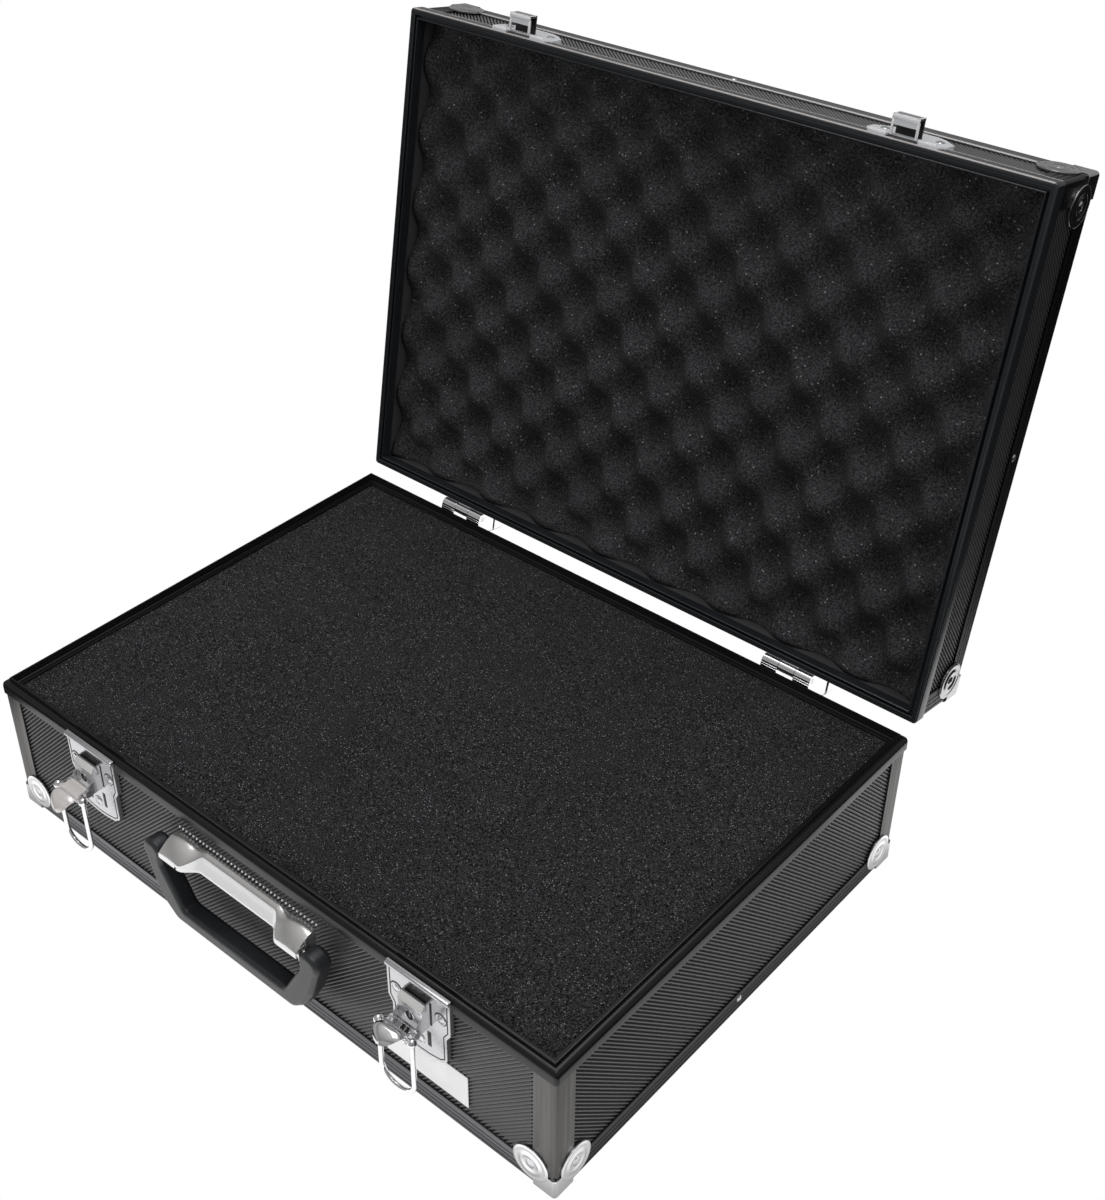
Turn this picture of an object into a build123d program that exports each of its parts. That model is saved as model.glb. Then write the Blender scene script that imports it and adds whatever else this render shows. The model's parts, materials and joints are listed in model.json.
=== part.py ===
from build123d import *
import math
import os

# A hard case for microphones: a shallow lid hinged to a deeper base, both framed in aluminium
# extrusions round ribbed panels. X runs along the front, Y from front to back, Z up. The model is
# laid out about the middle of the base, with the floor at Z = 0, and shifted at the very end.

# --- Driving dimensions, in millimetres -----------------------------------------------------
CASE_WIDTH = 460.0
CASE_DEPTH = 330.0
BASE_HEIGHT = 101.5
LID_HEIGHT = 53.2
PARTING_GAP = 0.3
LID_OPENING = 100.0

CAP_THICKNESS = 1.0
EDGE_THICKNESS = 0.9
PANEL_THICKNESS = 3.2
EDGE_LEG = 16.0
EDGE_ROUNDING = 2.0
FLUTE_WIDTH = 0.7
FLUTE_DEPTH = 0.3
FLUTE_PITCH = 3.4

RIM_BAND = 8.5
RIM_WALL = 1.0
RIM_WEB = 1.2
RIM_LEDGE = 4.3
TONGUE_THICKNESS = 1.1
TONGUE_HEIGHT = 2.6
GROOVE_CLEARANCE = 0.35
GROOVE_DEPTH = 3.4
RIM_STEP_DROP = 2.6
RIM_STEP_INSET = 9.4
RIM_CLIP = 9.0

CAP_REACH = 29.0
CAP_LOBE_RADIUS = 12.0
CAP_ROOT = 15.0
CAP_ROUNDING = 2.5

RIVET_SHANK_RADIUS = 1.6
RIVET_HOLE_CLEARANCE = 0.05
CAP_RIVET_RADIUS = 3.0
EDGE_RIVET_RADIUS = 2.2
PLATE_RIVET_RADIUS = 2.8
RIVET_CROWN = 0.9
EDGE_RIVET_INSET = 11.0

FOAM_GAP = 0.2
BASE_FOAM_DROP = 3.0
LID_FOAM_DROP = 13.0
CRATE_PITCH_X = 50.5
CRATE_PITCH_Y = 48.0
CRATE_FIRST_X = 23.7
CRATE_FIRST_Y = 49.7
CRATE_RISE = 9.6
CRATE_RADIUS = 11.7
CRATE_MARGIN = 3.0

HINGE_INSET = 90.5
HINGE_PIN_OUT = 4.7
HINGE_PIN_UP = 1.3
HINGE_PIN_RADIUS = 1.75
HINGE_PIN_CLEARANCE = 0.05
KNUCKLE_RADIUS = 3.9
KNUCKLE_LENGTH = 11.8
KNUCKLE_GAP = 0.3
LEAF_THICKNESS = 1.2
LEAF_LENGTH = 26.0
LEAF_HALF_WIDTH = 25.0
LEAF_RELIEF = 0.3
STOP_EAR_OFFSET = 29.0
STOP_EAR_THICKNESS = 1.5
STOP_EAR_REACH = 3.5
STOP_EAR_HEIGHT = 8.0
STOP_CLEARANCE = 0.08

LATCH_INSET = 92.5
LATCH_PLATE_OUT = 1.4
LATCH_PLATE_THICKNESS = 1.0
LATCH_HALF_WIDTH = 22.5
LATCH_LOWER_HALF_WIDTH = 19.5
LATCH_STEP_TOP_DROP = 26.5
LATCH_STEP_BOTTOM_DROP = 31.5
LATCH_BOTTOM_DROP = 51.5
LATCH_SAG = 3.5
LATCH_CORNER = 4.0
LATCH_LIP_GAP = 0.1
LATCH_RIVET_OFFSET = 16.0
LATCH_RIVET_DROP = 17.5
LATCH_LOW_RIVET_DROP = 44.5
LATCH_SLOT_OFFSET = 7.0
LATCH_SLOT_WIDTH = 2.0
LATCH_SLOT_BOTTOM_DROP = 45.5
LATCH_SLOT_TOP_DROP = 34.5

HOUSING_HALF_WIDTH = 8.75
HOUSING_OUT = 8.0
HOUSING_BOTTOM_DROP = 28.5
HOUSING_SHOULDER_DROP = 13.5
HOUSING_TOP_DROP = 10.0
HOUSING_LIP_OUT = 5.0
HOUSING_WALL = 1.0
LOCK_DROP = 20.5
LOCK_RADIUS = 2.9
LOCK_CLEARANCE = 0.05
LOCK_CAM_LENGTH = 6.2
KEYHOLE_WIDTH = 1.1
KEYHOLE_LENGTH = 4.2
KEYHOLE_DEPTH = 3.0

LEVER_PIVOT_OUT = 12.3
LEVER_PIVOT_DROP = 25.7
LEVER_PIN_RADIUS = 1.2
LEVER_PIN_CLEARANCE = 0.05
LEVER_BARREL_RADIUS = 2.3
LEVER_EAR_RADIUS = 3.0
LEVER_EYE_RADIUS = 2.5
LEVER_ARM = 7.0
LEVER_THICKNESS = 1.3
LEVER_HALF_WIDTH = 9.0
LEVER_EAR_SHEET = 1.2
LEVER_LENGTH = 19.0
LEVER_CURL = 8.0
LEVER_SIDE_GAP = 0.15
LEVER_REST_ANGLE = {"left": 0.0, "right": 20.0}
LEVER_CLOSED_ANGLE = -88.0

BAIL_HALF_SPACING = 12.1
BAIL_WIRE_RADIUS = 1.4
BAIL_CORNER_RADIUS = 8.0
BAIL_BOSS_RADIUS = 2.5
BAIL_SEAT_OUT = 8.0

CATCH_HALF_WIDTH = 25.0
CATCH_DEPTH = 24.0
CATCH_HOOK_HALF_WIDTH = 8.0
CATCH_HOOK_OUT = 13.0
CATCH_HOOK_FRONT = 1.5
CATCH_HOOK_DEPTH = 7.2
CATCH_HOOK_LIP = 7.0
CATCH_THICKNESS = 1.2
CATCH_GAP_HALF_WIDTH = 10.0
CATCH_LIP_GAP = 0.3
CATCH_RIVET_OFFSET = 17.0
CATCH_RIVET_HEIGHT = 13.0

HANDLE_HALF_WIDTH = 58.5
HANDLE_HUMP_INNER = 38.0
HANDLE_SHOULDER = 10.0
HANDLE_PLATE_DROP = 17.5
HANDLE_PLATE_SHEET = 1.2
HANDLE_HUMP_OUT = 16.0
HANDLE_HUMP_BOTTOM_DROP = 35.5
HANDLE_HUMP_BEND_DROP = 30.5
HANDLE_MID_OUT = 8.0
HANDLE_MID_BOTTOM_DROP = 31.5
HANDLE_MID_BEND_DROP = 26.5
HANDLE_PIVOT_OUT = 9.5
HANDLE_PIVOT_DROP = 31.5
HANDLE_PIVOT_RADIUS = 2.5
HANDLE_PIVOT_CLEARANCE = 0.05
HANDLE_SIDE_GAP = 0.5
HANDLE_ARM_WIDTH = 15.5
HANDLE_DEPTH = 12.7
HANDLE_GRIP_HEIGHT = 10.8
HANDLE_REACH = 45.3
HANDLE_KNEE = (67.5, 22.3)
HANDLE_HEEL = (60.0, 8.3)
HANDLE_FOOT = 50.5
HANDLE_WINDOW_FOOT = 43.5
HANDLE_WINDOW_DROP = 7.0
HANDLE_ROUNDING = 3.0

LABEL_WIDTH = 60.5
LABEL_EDGE_GAP = 6.0
LABEL_OFFSET = 0.75
LABEL_GAP = 0.3
LABEL_THICKNESS = 0.5

# --- Worked out from the driving dimensions -------------------------------------------------
HALF_WIDTH = CASE_WIDTH / 2
HALF_DEPTH = CASE_DEPTH / 2
CASE_HEIGHT = BASE_HEIGHT + PARTING_GAP + LID_HEIGHT
EDGE_INNER = CAP_THICKNESS + EDGE_THICKNESS
PANEL_INNER = EDGE_INNER + PANEL_THICKNESS
RIM_INNER = PANEL_INNER + RIM_WALL
FOAM_TOP_INSET = RIM_STEP_INSET + FOAM_GAP
LOBE_CENTRE = CAP_REACH - CAP_LOBE_RADIUS
FRONT = -HALF_DEPTH
BACK = HALF_DEPTH
FRONT_FACE = FRONT + EDGE_INNER
HINGE_Y = BACK + HINGE_PIN_OUT
HINGE_Z = BASE_HEIGHT + HINGE_PIN_UP
HINGE_AXIS = Axis((0, HINGE_Y, HINGE_Z), (1, 0, 0))
HINGE_CENTRE = HALF_WIDTH - HINGE_INSET
LATCH_CENTRE = HALF_WIDTH - LATCH_INSET
LATCH_STEP_TOP = BASE_HEIGHT - LATCH_STEP_TOP_DROP
LATCH_STEP_BOTTOM = BASE_HEIGHT - LATCH_STEP_BOTTOM_DROP
LATCH_BOTTOM = BASE_HEIGHT - LATCH_BOTTOM_DROP
LATCH_RIVET_HEIGHT = BASE_HEIGHT - LATCH_RIVET_DROP
LATCH_LOW_RIVET_HEIGHT = BASE_HEIGHT - LATCH_LOW_RIVET_DROP
LATCH_SLOT_BOTTOM = BASE_HEIGHT - LATCH_SLOT_BOTTOM_DROP
LATCH_SLOT_TOP = BASE_HEIGHT - LATCH_SLOT_TOP_DROP
HOUSING_BOTTOM = BASE_HEIGHT - HOUSING_BOTTOM_DROP
HOUSING_SHOULDER = BASE_HEIGHT - HOUSING_SHOULDER_DROP
HOUSING_TOP = BASE_HEIGHT - HOUSING_TOP_DROP
LOCK_HEIGHT = BASE_HEIGHT - LOCK_DROP
LEVER_PIVOT_HEIGHT = BASE_HEIGHT - LEVER_PIVOT_DROP
HANDLE_PLATE_TOP = BASE_HEIGHT - HANDLE_PLATE_DROP
HANDLE_HUMP_BOTTOM = BASE_HEIGHT - HANDLE_HUMP_BOTTOM_DROP
HANDLE_HUMP_BEND = BASE_HEIGHT - HANDLE_HUMP_BEND_DROP
HANDLE_MID_BOTTOM = BASE_HEIGHT - HANDLE_MID_BOTTOM_DROP
HANDLE_MID_BEND = BASE_HEIGHT - HANDLE_MID_BEND_DROP
HANDLE_PIVOT_HEIGHT = BASE_HEIGHT - HANDLE_PIVOT_DROP
HANDLE_BOTTOM = HANDLE_PIVOT_HEIGHT - HANDLE_REACH
LABEL_TOP = LATCH_BOTTOM - LATCH_SAG - LABEL_GAP
LABEL_FOOT = EDGE_LEG + LABEL_EDGE_GAP
LABEL_LEFT = LATCH_CENTRE + LABEL_OFFSET - LABEL_WIDTH / 2
SIDES = {"front": 0, "right": 90, "back": 180, "left": 270}
SIGN = {"left": -1, "right": 1}


# --- Plain shapes ---------------------------------------------------------------------------
def block(x, y, z):
    """A box between two limits on each axis."""
    centre = Pos((x[0] + x[1]) / 2, (y[0] + y[1]) / 2, (z[0] + z[1]) / 2)
    return centre * Box(x[1] - x[0], y[1] - y[0], z[1] - z[0])


def prism_x(outline, x0, x1):
    """An outline of (y, z) points or a YZ sketch, drawn out along X."""
    sketch = Polygon(*outline, align=None) if isinstance(outline, list) else outline
    return extrude(Plane.YZ.offset(x0) * sketch, amount=x1 - x0, dir=(1, 0, 0))


def prism_y(outline, y0, y1):
    """An outline of (x, z) points or an XZ sketch, drawn out along Y."""
    sketch = Polygon(*outline, align=None) if isinstance(outline, list) else outline
    return extrude(Plane.XZ.offset(-y1) * sketch, amount=y1 - y0, dir=(0, -1, 0))


def rod_x(radius, x0, x1, y, z):
    return Pos((x0 + x1) / 2, y, z) * Rot(0, 90, 0) * Cylinder(radius, x1 - x0)


def rod_y(radius, y0, y1, x, z):
    return Pos(x, (y0 + y1) / 2, z) * Rot(90, 0, 0) * Cylinder(radius, y1 - y0)


def solids_of(*shapes):
    """One compound holding every solid of the shapes."""
    return Compound([solid for shape in shapes for solid in shape.solids()])


def outward(distance):
    """The Y of a point that stands this far outside the front of the rim."""
    return FRONT - distance


# --- Rivets ---------------------------------------------------------------------------------
def rivet(head_radius, grip, crown=RIVET_CROWN):
    """A domed rivet along +Z: its head sits on Z = 0 and its shank ends at Z = -grip."""
    ball_radius = (head_radius**2 + crown**2) / (2 * crown)
    head = Pos(0, 0, crown - ball_radius) * Sphere(ball_radius)
    head &= Pos(0, 0, crown / 2) * Cylinder(head_radius, crown)
    shank = Pos(0, 0, -grip / 2) * Cylinder(RIVET_SHANK_RADIUS, grip)
    return head + shank


def rivet_hole(depth):
    radius = RIVET_SHANK_RADIUS + RIVET_HOLE_CLEARANCE
    return Pos(0, 0, -depth / 2) * Cylinder(radius, depth + 0.02)


def flush_rivet(grip):
    """A rivet under a corner cap, with its flat head let into the cap."""
    head = Pos(0, 0, -CAP_THICKNESS / 2) * Cylinder(CAP_RIVET_RADIUS, CAP_THICKNESS)
    shank = Pos(0, 0, -grip / 2) * Cylinder(RIVET_SHANK_RADIUS, grip)
    return head + shank


def flush_hole(depth):
    recess_radius = CAP_RIVET_RADIUS + RIVET_HOLE_CLEARANCE
    recess = Pos(0, 0, -CAP_THICKNESS / 2) * Cylinder(recess_radius, CAP_THICKNESS + 0.02)
    return recess + rivet_hole(depth)


# --- Framing of one half of the case --------------------------------------------------------
def corner_angle_profile():
    """Cross-section of the fluted angle that wraps each edge, measured inwards from two faces."""
    low = CAP_THICKNESS
    high = EDGE_INNER
    upright = Pos((low + high) / 2, (low + EDGE_LEG) / 2) * Rectangle(high - low, EDGE_LEG - low)
    flat = Pos((low + EDGE_LEG) / 2, (low + high) / 2) * Rectangle(EDGE_LEG - low, high - low)
    profile = upright + flat
    corner = profile.vertices().sort_by(lambda vertex: vertex.X + vertex.Y)[0]
    profile = fillet(corner, EDGE_ROUNDING)
    flute_count = int((EDGE_LEG - low - EDGE_ROUNDING) / FLUTE_PITCH)
    for index in range(flute_count):
        along = low + EDGE_ROUNDING + FLUTE_PITCH * (index + 0.5)
        profile -= Pos(low + FLUTE_DEPTH / 2, along) * Rectangle(FLUTE_DEPTH, FLUTE_WIDTH)
        profile -= Pos(along, low + FLUTE_DEPTH / 2) * Rectangle(FLUTE_WIDTH, FLUTE_DEPTH)
    return profile


def base_rim_profile():
    """Rim of the base with its tongue, as (inset, height above the parting face)."""
    tongue_inner = RIM_LEDGE + TONGUE_THICKNESS
    step_low = -RIM_STEP_DROP - RIM_WALL
    clip = RIM_STEP_INSET - EDGE_THICKNESS
    return [
        (0, -RIM_BAND), (0, -0.5), (0.5, 0), (RIM_LEDGE, 0), (RIM_LEDGE, TONGUE_HEIGHT),
        (tongue_inner, TONGUE_HEIGHT), (tongue_inner, 0), (RIM_INNER, 0),
        (RIM_INNER, -RIM_STEP_DROP), (RIM_STEP_INSET, -RIM_STEP_DROP),
        (RIM_STEP_INSET, step_low - RIM_WALL), (clip, step_low - RIM_WALL), (clip, step_low),
        (RIM_INNER, step_low), (RIM_INNER, -RIM_CLIP), (PANEL_INNER, -RIM_CLIP),
        (PANEL_INNER, -RIM_WEB), (CAP_THICKNESS, -RIM_WEB), (CAP_THICKNESS, -RIM_BAND),
    ]


def lid_rim_profile():
    """Rim of the lid with the groove that takes the tongue, in the same measures."""
    groove_outer = RIM_LEDGE - GROOVE_CLEARANCE
    groove_inner = RIM_LEDGE + TONGUE_THICKNESS + GROOVE_CLEARANCE
    floor = -GROOVE_DEPTH - EDGE_THICKNESS
    lip_inner = groove_inner + RIM_WALL
    return [
        (0, -RIM_BAND), (0, -0.5), (0.5, 0), (groove_outer, 0), (groove_outer, -GROOVE_DEPTH),
        (groove_inner, -GROOVE_DEPTH), (groove_inner, 0), (lip_inner, 0), (lip_inner, floor),
        (RIM_INNER, floor), (RIM_INNER, -RIM_CLIP), (PANEL_INNER, -RIM_CLIP),
        (PANEL_INNER, floor), (groove_outer - RIM_WALL, floor), (groove_outer - RIM_WALL, -RIM_WEB),
        (CAP_THICKNESS, -RIM_WEB), (CAP_THICKNESS, -RIM_BAND),
    ]


def mitred_bar(sketch, length):
    """A profile of (inset, z) drawn out along X, with its ends cut at 45 degrees."""
    half = length / 2
    bar = prism_x(sketch, -half, half)
    reach = 2 * EDGE_LEG
    for sign in (-1, 1):
        end = sign * half
        wedge = Polygon((end, 0), (end, reach), (end - sign * reach, reach), align=None)
        bar -= extrude(Pos(0, 0, -reach) * wedge, amount=CASE_HEIGHT + 2 * reach, dir=(0, 0, 1))
    return bar


def on_side(shape, side):
    """Turn and move a bar that was made along X, with its outer face on Y = 0, to a side."""
    turned = Rot(0, 0, SIDES[side]) * shape
    angle = math.radians(SIDES[side])
    return Pos(HALF_WIDTH * math.sin(angle), -HALF_DEPTH * math.cos(angle), 0) * turned


def side_length(side):
    return CASE_WIDTH if side in ("front", "back") else CASE_DEPTH


def lobe_outline():
    """One face of a corner cap: a round lobe joined to the square root at the corner."""
    root = Pos(CAP_ROOT / 2, CAP_ROOT / 2) * Rectangle(CAP_ROOT, CAP_ROOT)
    return root + Pos(LOBE_CENTRE, LOBE_CENTRE) * Circle(CAP_LOBE_RADIUS)


def corner_cap():
    """The three-lobed cap for the corner at the origin, lying along +X, +Y and +Z."""
    reach = CAP_REACH + 1
    outer = block((0, reach), (0, reach), (0, reach))
    corner_edges = [
        edge for edge in outer.edges()
        if sum(abs(value) < 1e-6 for value in (edge.center().X, edge.center().Y, edge.center().Z)) == 2
    ]
    outer = fillet(corner_edges, CAP_ROUNDING)
    inner = block((CAP_THICKNESS, 2 * reach), (CAP_THICKNESS, 2 * reach), (CAP_THICKNESS, 2 * reach))
    lobe = extrude(lobe_outline(), amount=CAP_ROUNDING)
    front_lobe = mirror(Rot(90, 0, 0) * lobe, Plane.XZ)
    side_lobe = mirror(Rot(0, -90, 0) * lobe, Plane.YZ)
    return (outer - inner) & (lobe + front_lobe + side_lobe)


def at_corners(shape):
    """Copies of a shape at the four lower corners, for a shape made for the front left one."""
    placed = Pos(-HALF_WIDTH, -HALF_DEPTH, 0) * shape
    right = mirror(placed, Plane.YZ)
    return [placed, right, mirror(placed, Plane.XZ), mirror(right, Plane.XZ)]


def cap_rivets(make, grip):
    """The rivets, or their holes, of the two upright lobes of one corner cap."""
    item = make(grip)
    front = Pos(LOBE_CENTRE, 0, LOBE_CENTRE) * Rot(90, 0, 0) * item
    side = Pos(0, LOBE_CENTRE, LOBE_CENTRE) * Rot(0, -90, 0) * item
    return [front, side]


def edge_rivets(make, grip):
    """The rivet, or its hole, in the middle of each long edge of one half."""
    placed = []
    for side in SIDES:
        item = Pos(0, CAP_THICKNESS, EDGE_RIVET_INSET) * Rot(90, 0, 0) * make(grip)
        placed.append(on_side(item, side))
    return placed


def case_half(height, rim_profile, post_top):
    """Panels, angles, rims, posts, caps and rivets of a tray that is open at the top."""
    parts = {}
    inner_top = height - post_top
    span_x = HALF_WIDTH - EDGE_INNER
    span_y = HALF_DEPTH - PANEL_INNER
    wall_z = (EDGE_INNER, inner_top)
    parts["panel_front"] = block((-span_x, span_x), (FRONT_FACE, FRONT_FACE + PANEL_THICKNESS), wall_z)
    parts["panel_back"] = mirror(parts["panel_front"], Plane.XZ)
    parts["panel_left"] = block((-span_x, -span_x + PANEL_THICKNESS), (-span_y, span_y), wall_z)
    parts["panel_right"] = mirror(parts["panel_left"], Plane.YZ)
    floor_x = span_x - PANEL_THICKNESS
    parts["panel_flat"] = block((-floor_x, floor_x), (-span_y, span_y), (EDGE_INNER, PANEL_INNER))

    angle = corner_angle_profile()
    rim = Pos(0, height) * Polygon(*rim_profile, align=None)
    for side in SIDES:
        length = side_length(side)
        edge_bar = mitred_bar(angle, length)
        parts["edge_" + side] = on_side(edge_bar, side)
        parts["rim_" + side] = on_side(mitred_bar(rim, length), side)

    post = extrude(Pos(0, 0, EDGE_LEG) * angle, amount=height - RIM_WEB - EDGE_LEG)
    parts["corner_posts"] = solids_of(*at_corners(post))
    parts["corner_caps"] = solids_of(*at_corners(corner_cap()))

    grip = PANEL_INNER
    flush = Pos(LOBE_CENTRE, LOBE_CENTRE, 0) * Rot(180, 0, 0)
    cap_set = [copy for item in cap_rivets(lambda g: rivet(CAP_RIVET_RADIUS, g), grip)
               for copy in at_corners(item)]
    cap_set += at_corners(flush * flush_rivet(grip))
    edge_set = edge_rivets(lambda g: rivet(EDGE_RIVET_RADIUS, g), PANEL_INNER - CAP_THICKNESS)
    holes = [copy for item in cap_rivets(rivet_hole, grip) for copy in at_corners(item)]
    holes += at_corners(flush * flush_hole(grip))
    holes += edge_rivets(rivet_hole, PANEL_INNER - CAP_THICKNESS)
    parts["cap_rivets"] = solids_of(*cap_set)
    parts["edge_rivets"] = edge_set
    return parts, holes


# --- Hinges ---------------------------------------------------------------------------------
def knuckle(x0, x1):
    bore = HINGE_PIN_RADIUS + HINGE_PIN_CLEARANCE
    barrel = rod_x(KNUCKLE_RADIUS, x0, x1, HINGE_Y, HINGE_Z)
    return barrel, rod_x(bore, x0 - 1, x1 + 1, HINGE_Y, HINGE_Z)


def leaf_strip(direction, band_edge):
    """The bent strip of a leaf as a YZ outline: on the panel, then stepped out over the rim."""
    def up(distance):
        return HINGE_Z + direction * distance

    panel = BACK - EDGE_INNER
    rim = BACK
    joggle = abs(band_edge - HINGE_Z) + LEAF_RELIEF
    end = joggle + LEAF_LENGTH
    sheet = LEAF_THICKNESS
    slant = rim - panel
    outline = [
        (panel, up(end)), (panel + sheet, up(end)),
        (panel + sheet, up(joggle + slant + 0.4 * sheet)), (rim + sheet, up(joggle + 0.4 * sheet)),
        (rim + sheet, up(0)),
    ]
    if direction < 0:
        clear = rim + LEAF_RELIEF
        outline += [(clear, up(0)), (clear, up(HINGE_PIN_UP)), (rim, up(HINGE_PIN_UP))]
    else:
        outline += [(rim, up(0))]
    return outline + [(rim, up(joggle)), (panel, up(joggle + slant))]


def stop_ear(direction):
    """The fin beside a leaf: the two fins meet edge to edge when the lid is fully open."""
    root = BACK
    axis_y = HINGE_Y
    axis_z = HINGE_Z
    if direction > 0:
        return [
            (root, axis_z + 0.4), (axis_y + STOP_EAR_REACH, axis_z + 0.4),
            (axis_y + STOP_EAR_REACH, axis_z + STOP_EAR_HEIGHT), (root, axis_z + 2 * STOP_EAR_HEIGHT),
        ]
    lean = math.radians(LID_OPENING - 90)
    distance = STOP_EAR_REACH + STOP_CLEARANCE

    def edge_z(y):
        return axis_z - distance / math.cos(lean) - (y - axis_y) * math.tan(lean)

    tip = axis_y + STOP_EAR_HEIGHT
    return [
        (root, edge_z(root)), (tip, edge_z(tip)), (tip, edge_z(tip) - 1.5),
        (root, axis_z - 2 * STOP_EAR_HEIGHT),
    ]


def hinge_leaf(centre, direction, band_edge):
    """One leaf of a hinge: the lower one has the outer knuckles, the upper one the middle."""
    half_knuckle = KNUCKLE_LENGTH / 2
    outer = half_knuckle + KNUCKLE_GAP + KNUCKLE_LENGTH
    clear = KNUCKLE_RADIUS + 0.4
    strip = prism_x(leaf_strip(direction, band_edge), centre - LEAF_HALF_WIDTH, centre + STOP_EAR_OFFSET)
    z_notch = sorted((HINGE_Z - direction * clear, HINGE_Z + direction * clear))
    middle = (centre - half_knuckle - KNUCKLE_GAP, centre + half_knuckle + KNUCKLE_GAP)
    left_zone = (centre - outer - KNUCKLE_GAP, centre - half_knuckle)
    right_zone = (centre + half_knuckle, centre + outer + KNUCKLE_GAP)
    beyond = [(centre - LEAF_HALF_WIDTH - 1, centre - outer), (centre + outer, centre + STOP_EAR_OFFSET)]
    y_range = (BACK - 1, HINGE_Y + KNUCKLE_RADIUS)
    notches = [middle] if direction < 0 else [left_zone, right_zone]
    for zone in notches + beyond:
        strip -= block(zone, y_range, z_notch)
    if direction < 0:
        spans = [(centre - outer, centre - half_knuckle - KNUCKLE_GAP)]
        spans.append((centre + half_knuckle + KNUCKLE_GAP, centre + outer))
    else:
        spans = [(centre - half_knuckle, centre + half_knuckle)]
    leaf = strip
    for x0, x1 in spans:
        barrel, bore = knuckle(x0, x1)
        leaf = (leaf + barrel) - bore
    ear_x = centre + STOP_EAR_OFFSET
    leaf += prism_x(stop_ear(direction), ear_x - STOP_EAR_THICKNESS, ear_x)
    return leaf


def hinge_rivet_places(centre, direction, band_edge):
    """Two rivets through each leaf, as places whose Z axis points out of the back."""
    height = abs(band_edge - HINGE_Z) + LEAF_RELIEF + 0.62 * LEAF_LENGTH
    z = HINGE_Z + direction * height
    y = BACK - EDGE_INNER + LEAF_THICKNESS
    return [Pos(centre + offset, y, z) * Rot(-90, 0, 0) for offset in (-14.0, 14.0)]


# --- Draw latches ---------------------------------------------------------------------------
def latch_outline():
    """Front view of a latch plate about its centre line, as an XZ sketch."""
    top = BASE_HEIGHT - LATCH_LIP_GAP
    half = LATCH_HALF_WIDTH
    low = LATCH_LOWER_HALF_WIDTH
    outline = Polygon(
        (half, top), (-half, top), (-half, LATCH_STEP_TOP), (-low, LATCH_STEP_BOTTOM),
        (-low, LATCH_BOTTOM), (low, LATCH_BOTTOM), (low, LATCH_STEP_BOTTOM), (half, LATCH_STEP_TOP),
        align=None,
    )
    lower_corners = outline.vertices().sort_by(Axis.Y)[0:2]
    outline = fillet(lower_corners, LATCH_CORNER)
    sag_radius = (low**2 + LATCH_SAG**2) / (2 * LATCH_SAG)
    belly = Pos(0, LATCH_BOTTOM - LATCH_SAG + sag_radius) * Circle(sag_radius)
    belly &= Pos(0, LATCH_BOTTOM) * Rectangle(2 * (low - LATCH_CORNER), 4 * LATCH_SAG)
    return outline + belly


def latch_plate():
    """Stamped tray that is riveted to the front and hangs over the rim band."""
    face = outward(LATCH_PLATE_OUT)
    outline = latch_outline()
    body = prism_y(outline, face, FRONT_FACE)
    hollow = prism_y(offset(outline, -LATCH_PLATE_THICKNESS), face + LATCH_PLATE_THICKNESS, FRONT_FACE)
    body -= hollow
    half = LATCH_HALF_WIDTH + 1
    body -= block((-half, half), (FRONT, FRONT_FACE + 1), (BASE_HEIGHT - RIM_BAND, BASE_HEIGHT))
    for sign in (-1, 1):
        x = sign * LATCH_SLOT_OFFSET
        width = LATCH_SLOT_WIDTH / 2
        body -= block((x - width, x + width), (face - 1, FRONT_FACE), (LATCH_SLOT_BOTTOM, LATCH_SLOT_TOP))
    return body


def latch_housing():
    """Open-topped box on the plate that holds the lock and carries the lever pin."""
    face = outward(LATCH_PLATE_OUT)
    front = outward(HOUSING_OUT)
    side_view = [
        (face, HOUSING_BOTTOM), (front, HOUSING_BOTTOM), (front, HOUSING_SHOULDER),
        (outward(HOUSING_LIP_OUT), HOUSING_TOP), (face, HOUSING_TOP),
    ]
    half = HOUSING_HALF_WIDTH
    wall = HOUSING_WALL
    shell = prism_x(side_view, -half, half)
    inner_view = [
        (face, HOUSING_BOTTOM - 1), (front + wall, HOUSING_BOTTOM - 1),
        (front + wall, HOUSING_SHOULDER - 0.4 * wall),
        (outward(HOUSING_LIP_OUT) + wall, HOUSING_TOP - 0.4 * wall),
        (outward(HOUSING_LIP_OUT) + wall, HOUSING_TOP + 1), (face, HOUSING_TOP + 1),
    ]
    shell -= prism_x(inner_view, -half + wall, half - wall)
    pivot_y = outward(LEVER_PIVOT_OUT)
    ear_view = [
        (front + 0.5, HOUSING_BOTTOM), (pivot_y, LEVER_PIVOT_HEIGHT - LEVER_EAR_RADIUS),
        (pivot_y, LEVER_PIVOT_HEIGHT + LEVER_EAR_RADIUS), (front + 0.5, HOUSING_BOTTOM + 10),
    ]
    for sign in (-1, 1):
        x0, x1 = sorted((sign * half, sign * (half - wall)))
        shell += prism_x(ear_view, x0, x1)
        shell += rod_x(LEVER_EAR_RADIUS, x0, x1, pivot_y, LEVER_PIVOT_HEIGHT)
    shell -= rod_x(LEVER_PIN_RADIUS, -half - 1, half + 1, pivot_y, LEVER_PIVOT_HEIGHT)
    shell -= rod_y(LOCK_RADIUS + LOCK_CLEARANCE, front - 1, front + wall + 0.01, 0, LOCK_HEIGHT)
    return shell


def lever_pin():
    pivot_y = outward(LEVER_PIVOT_OUT)
    half = HOUSING_HALF_WIDTH
    pin = rod_x(LEVER_PIN_RADIUS, -half - 0.1, half + 0.1, pivot_y, LEVER_PIVOT_HEIGHT)
    for sign in (-1, 1):
        x0, x1 = sorted((sign * half, sign * (half + 0.6)))
        pin += rod_x(LEVER_PIN_RADIUS + 0.6, x0, x1, pivot_y, LEVER_PIVOT_HEIGHT)
    return pin


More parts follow.
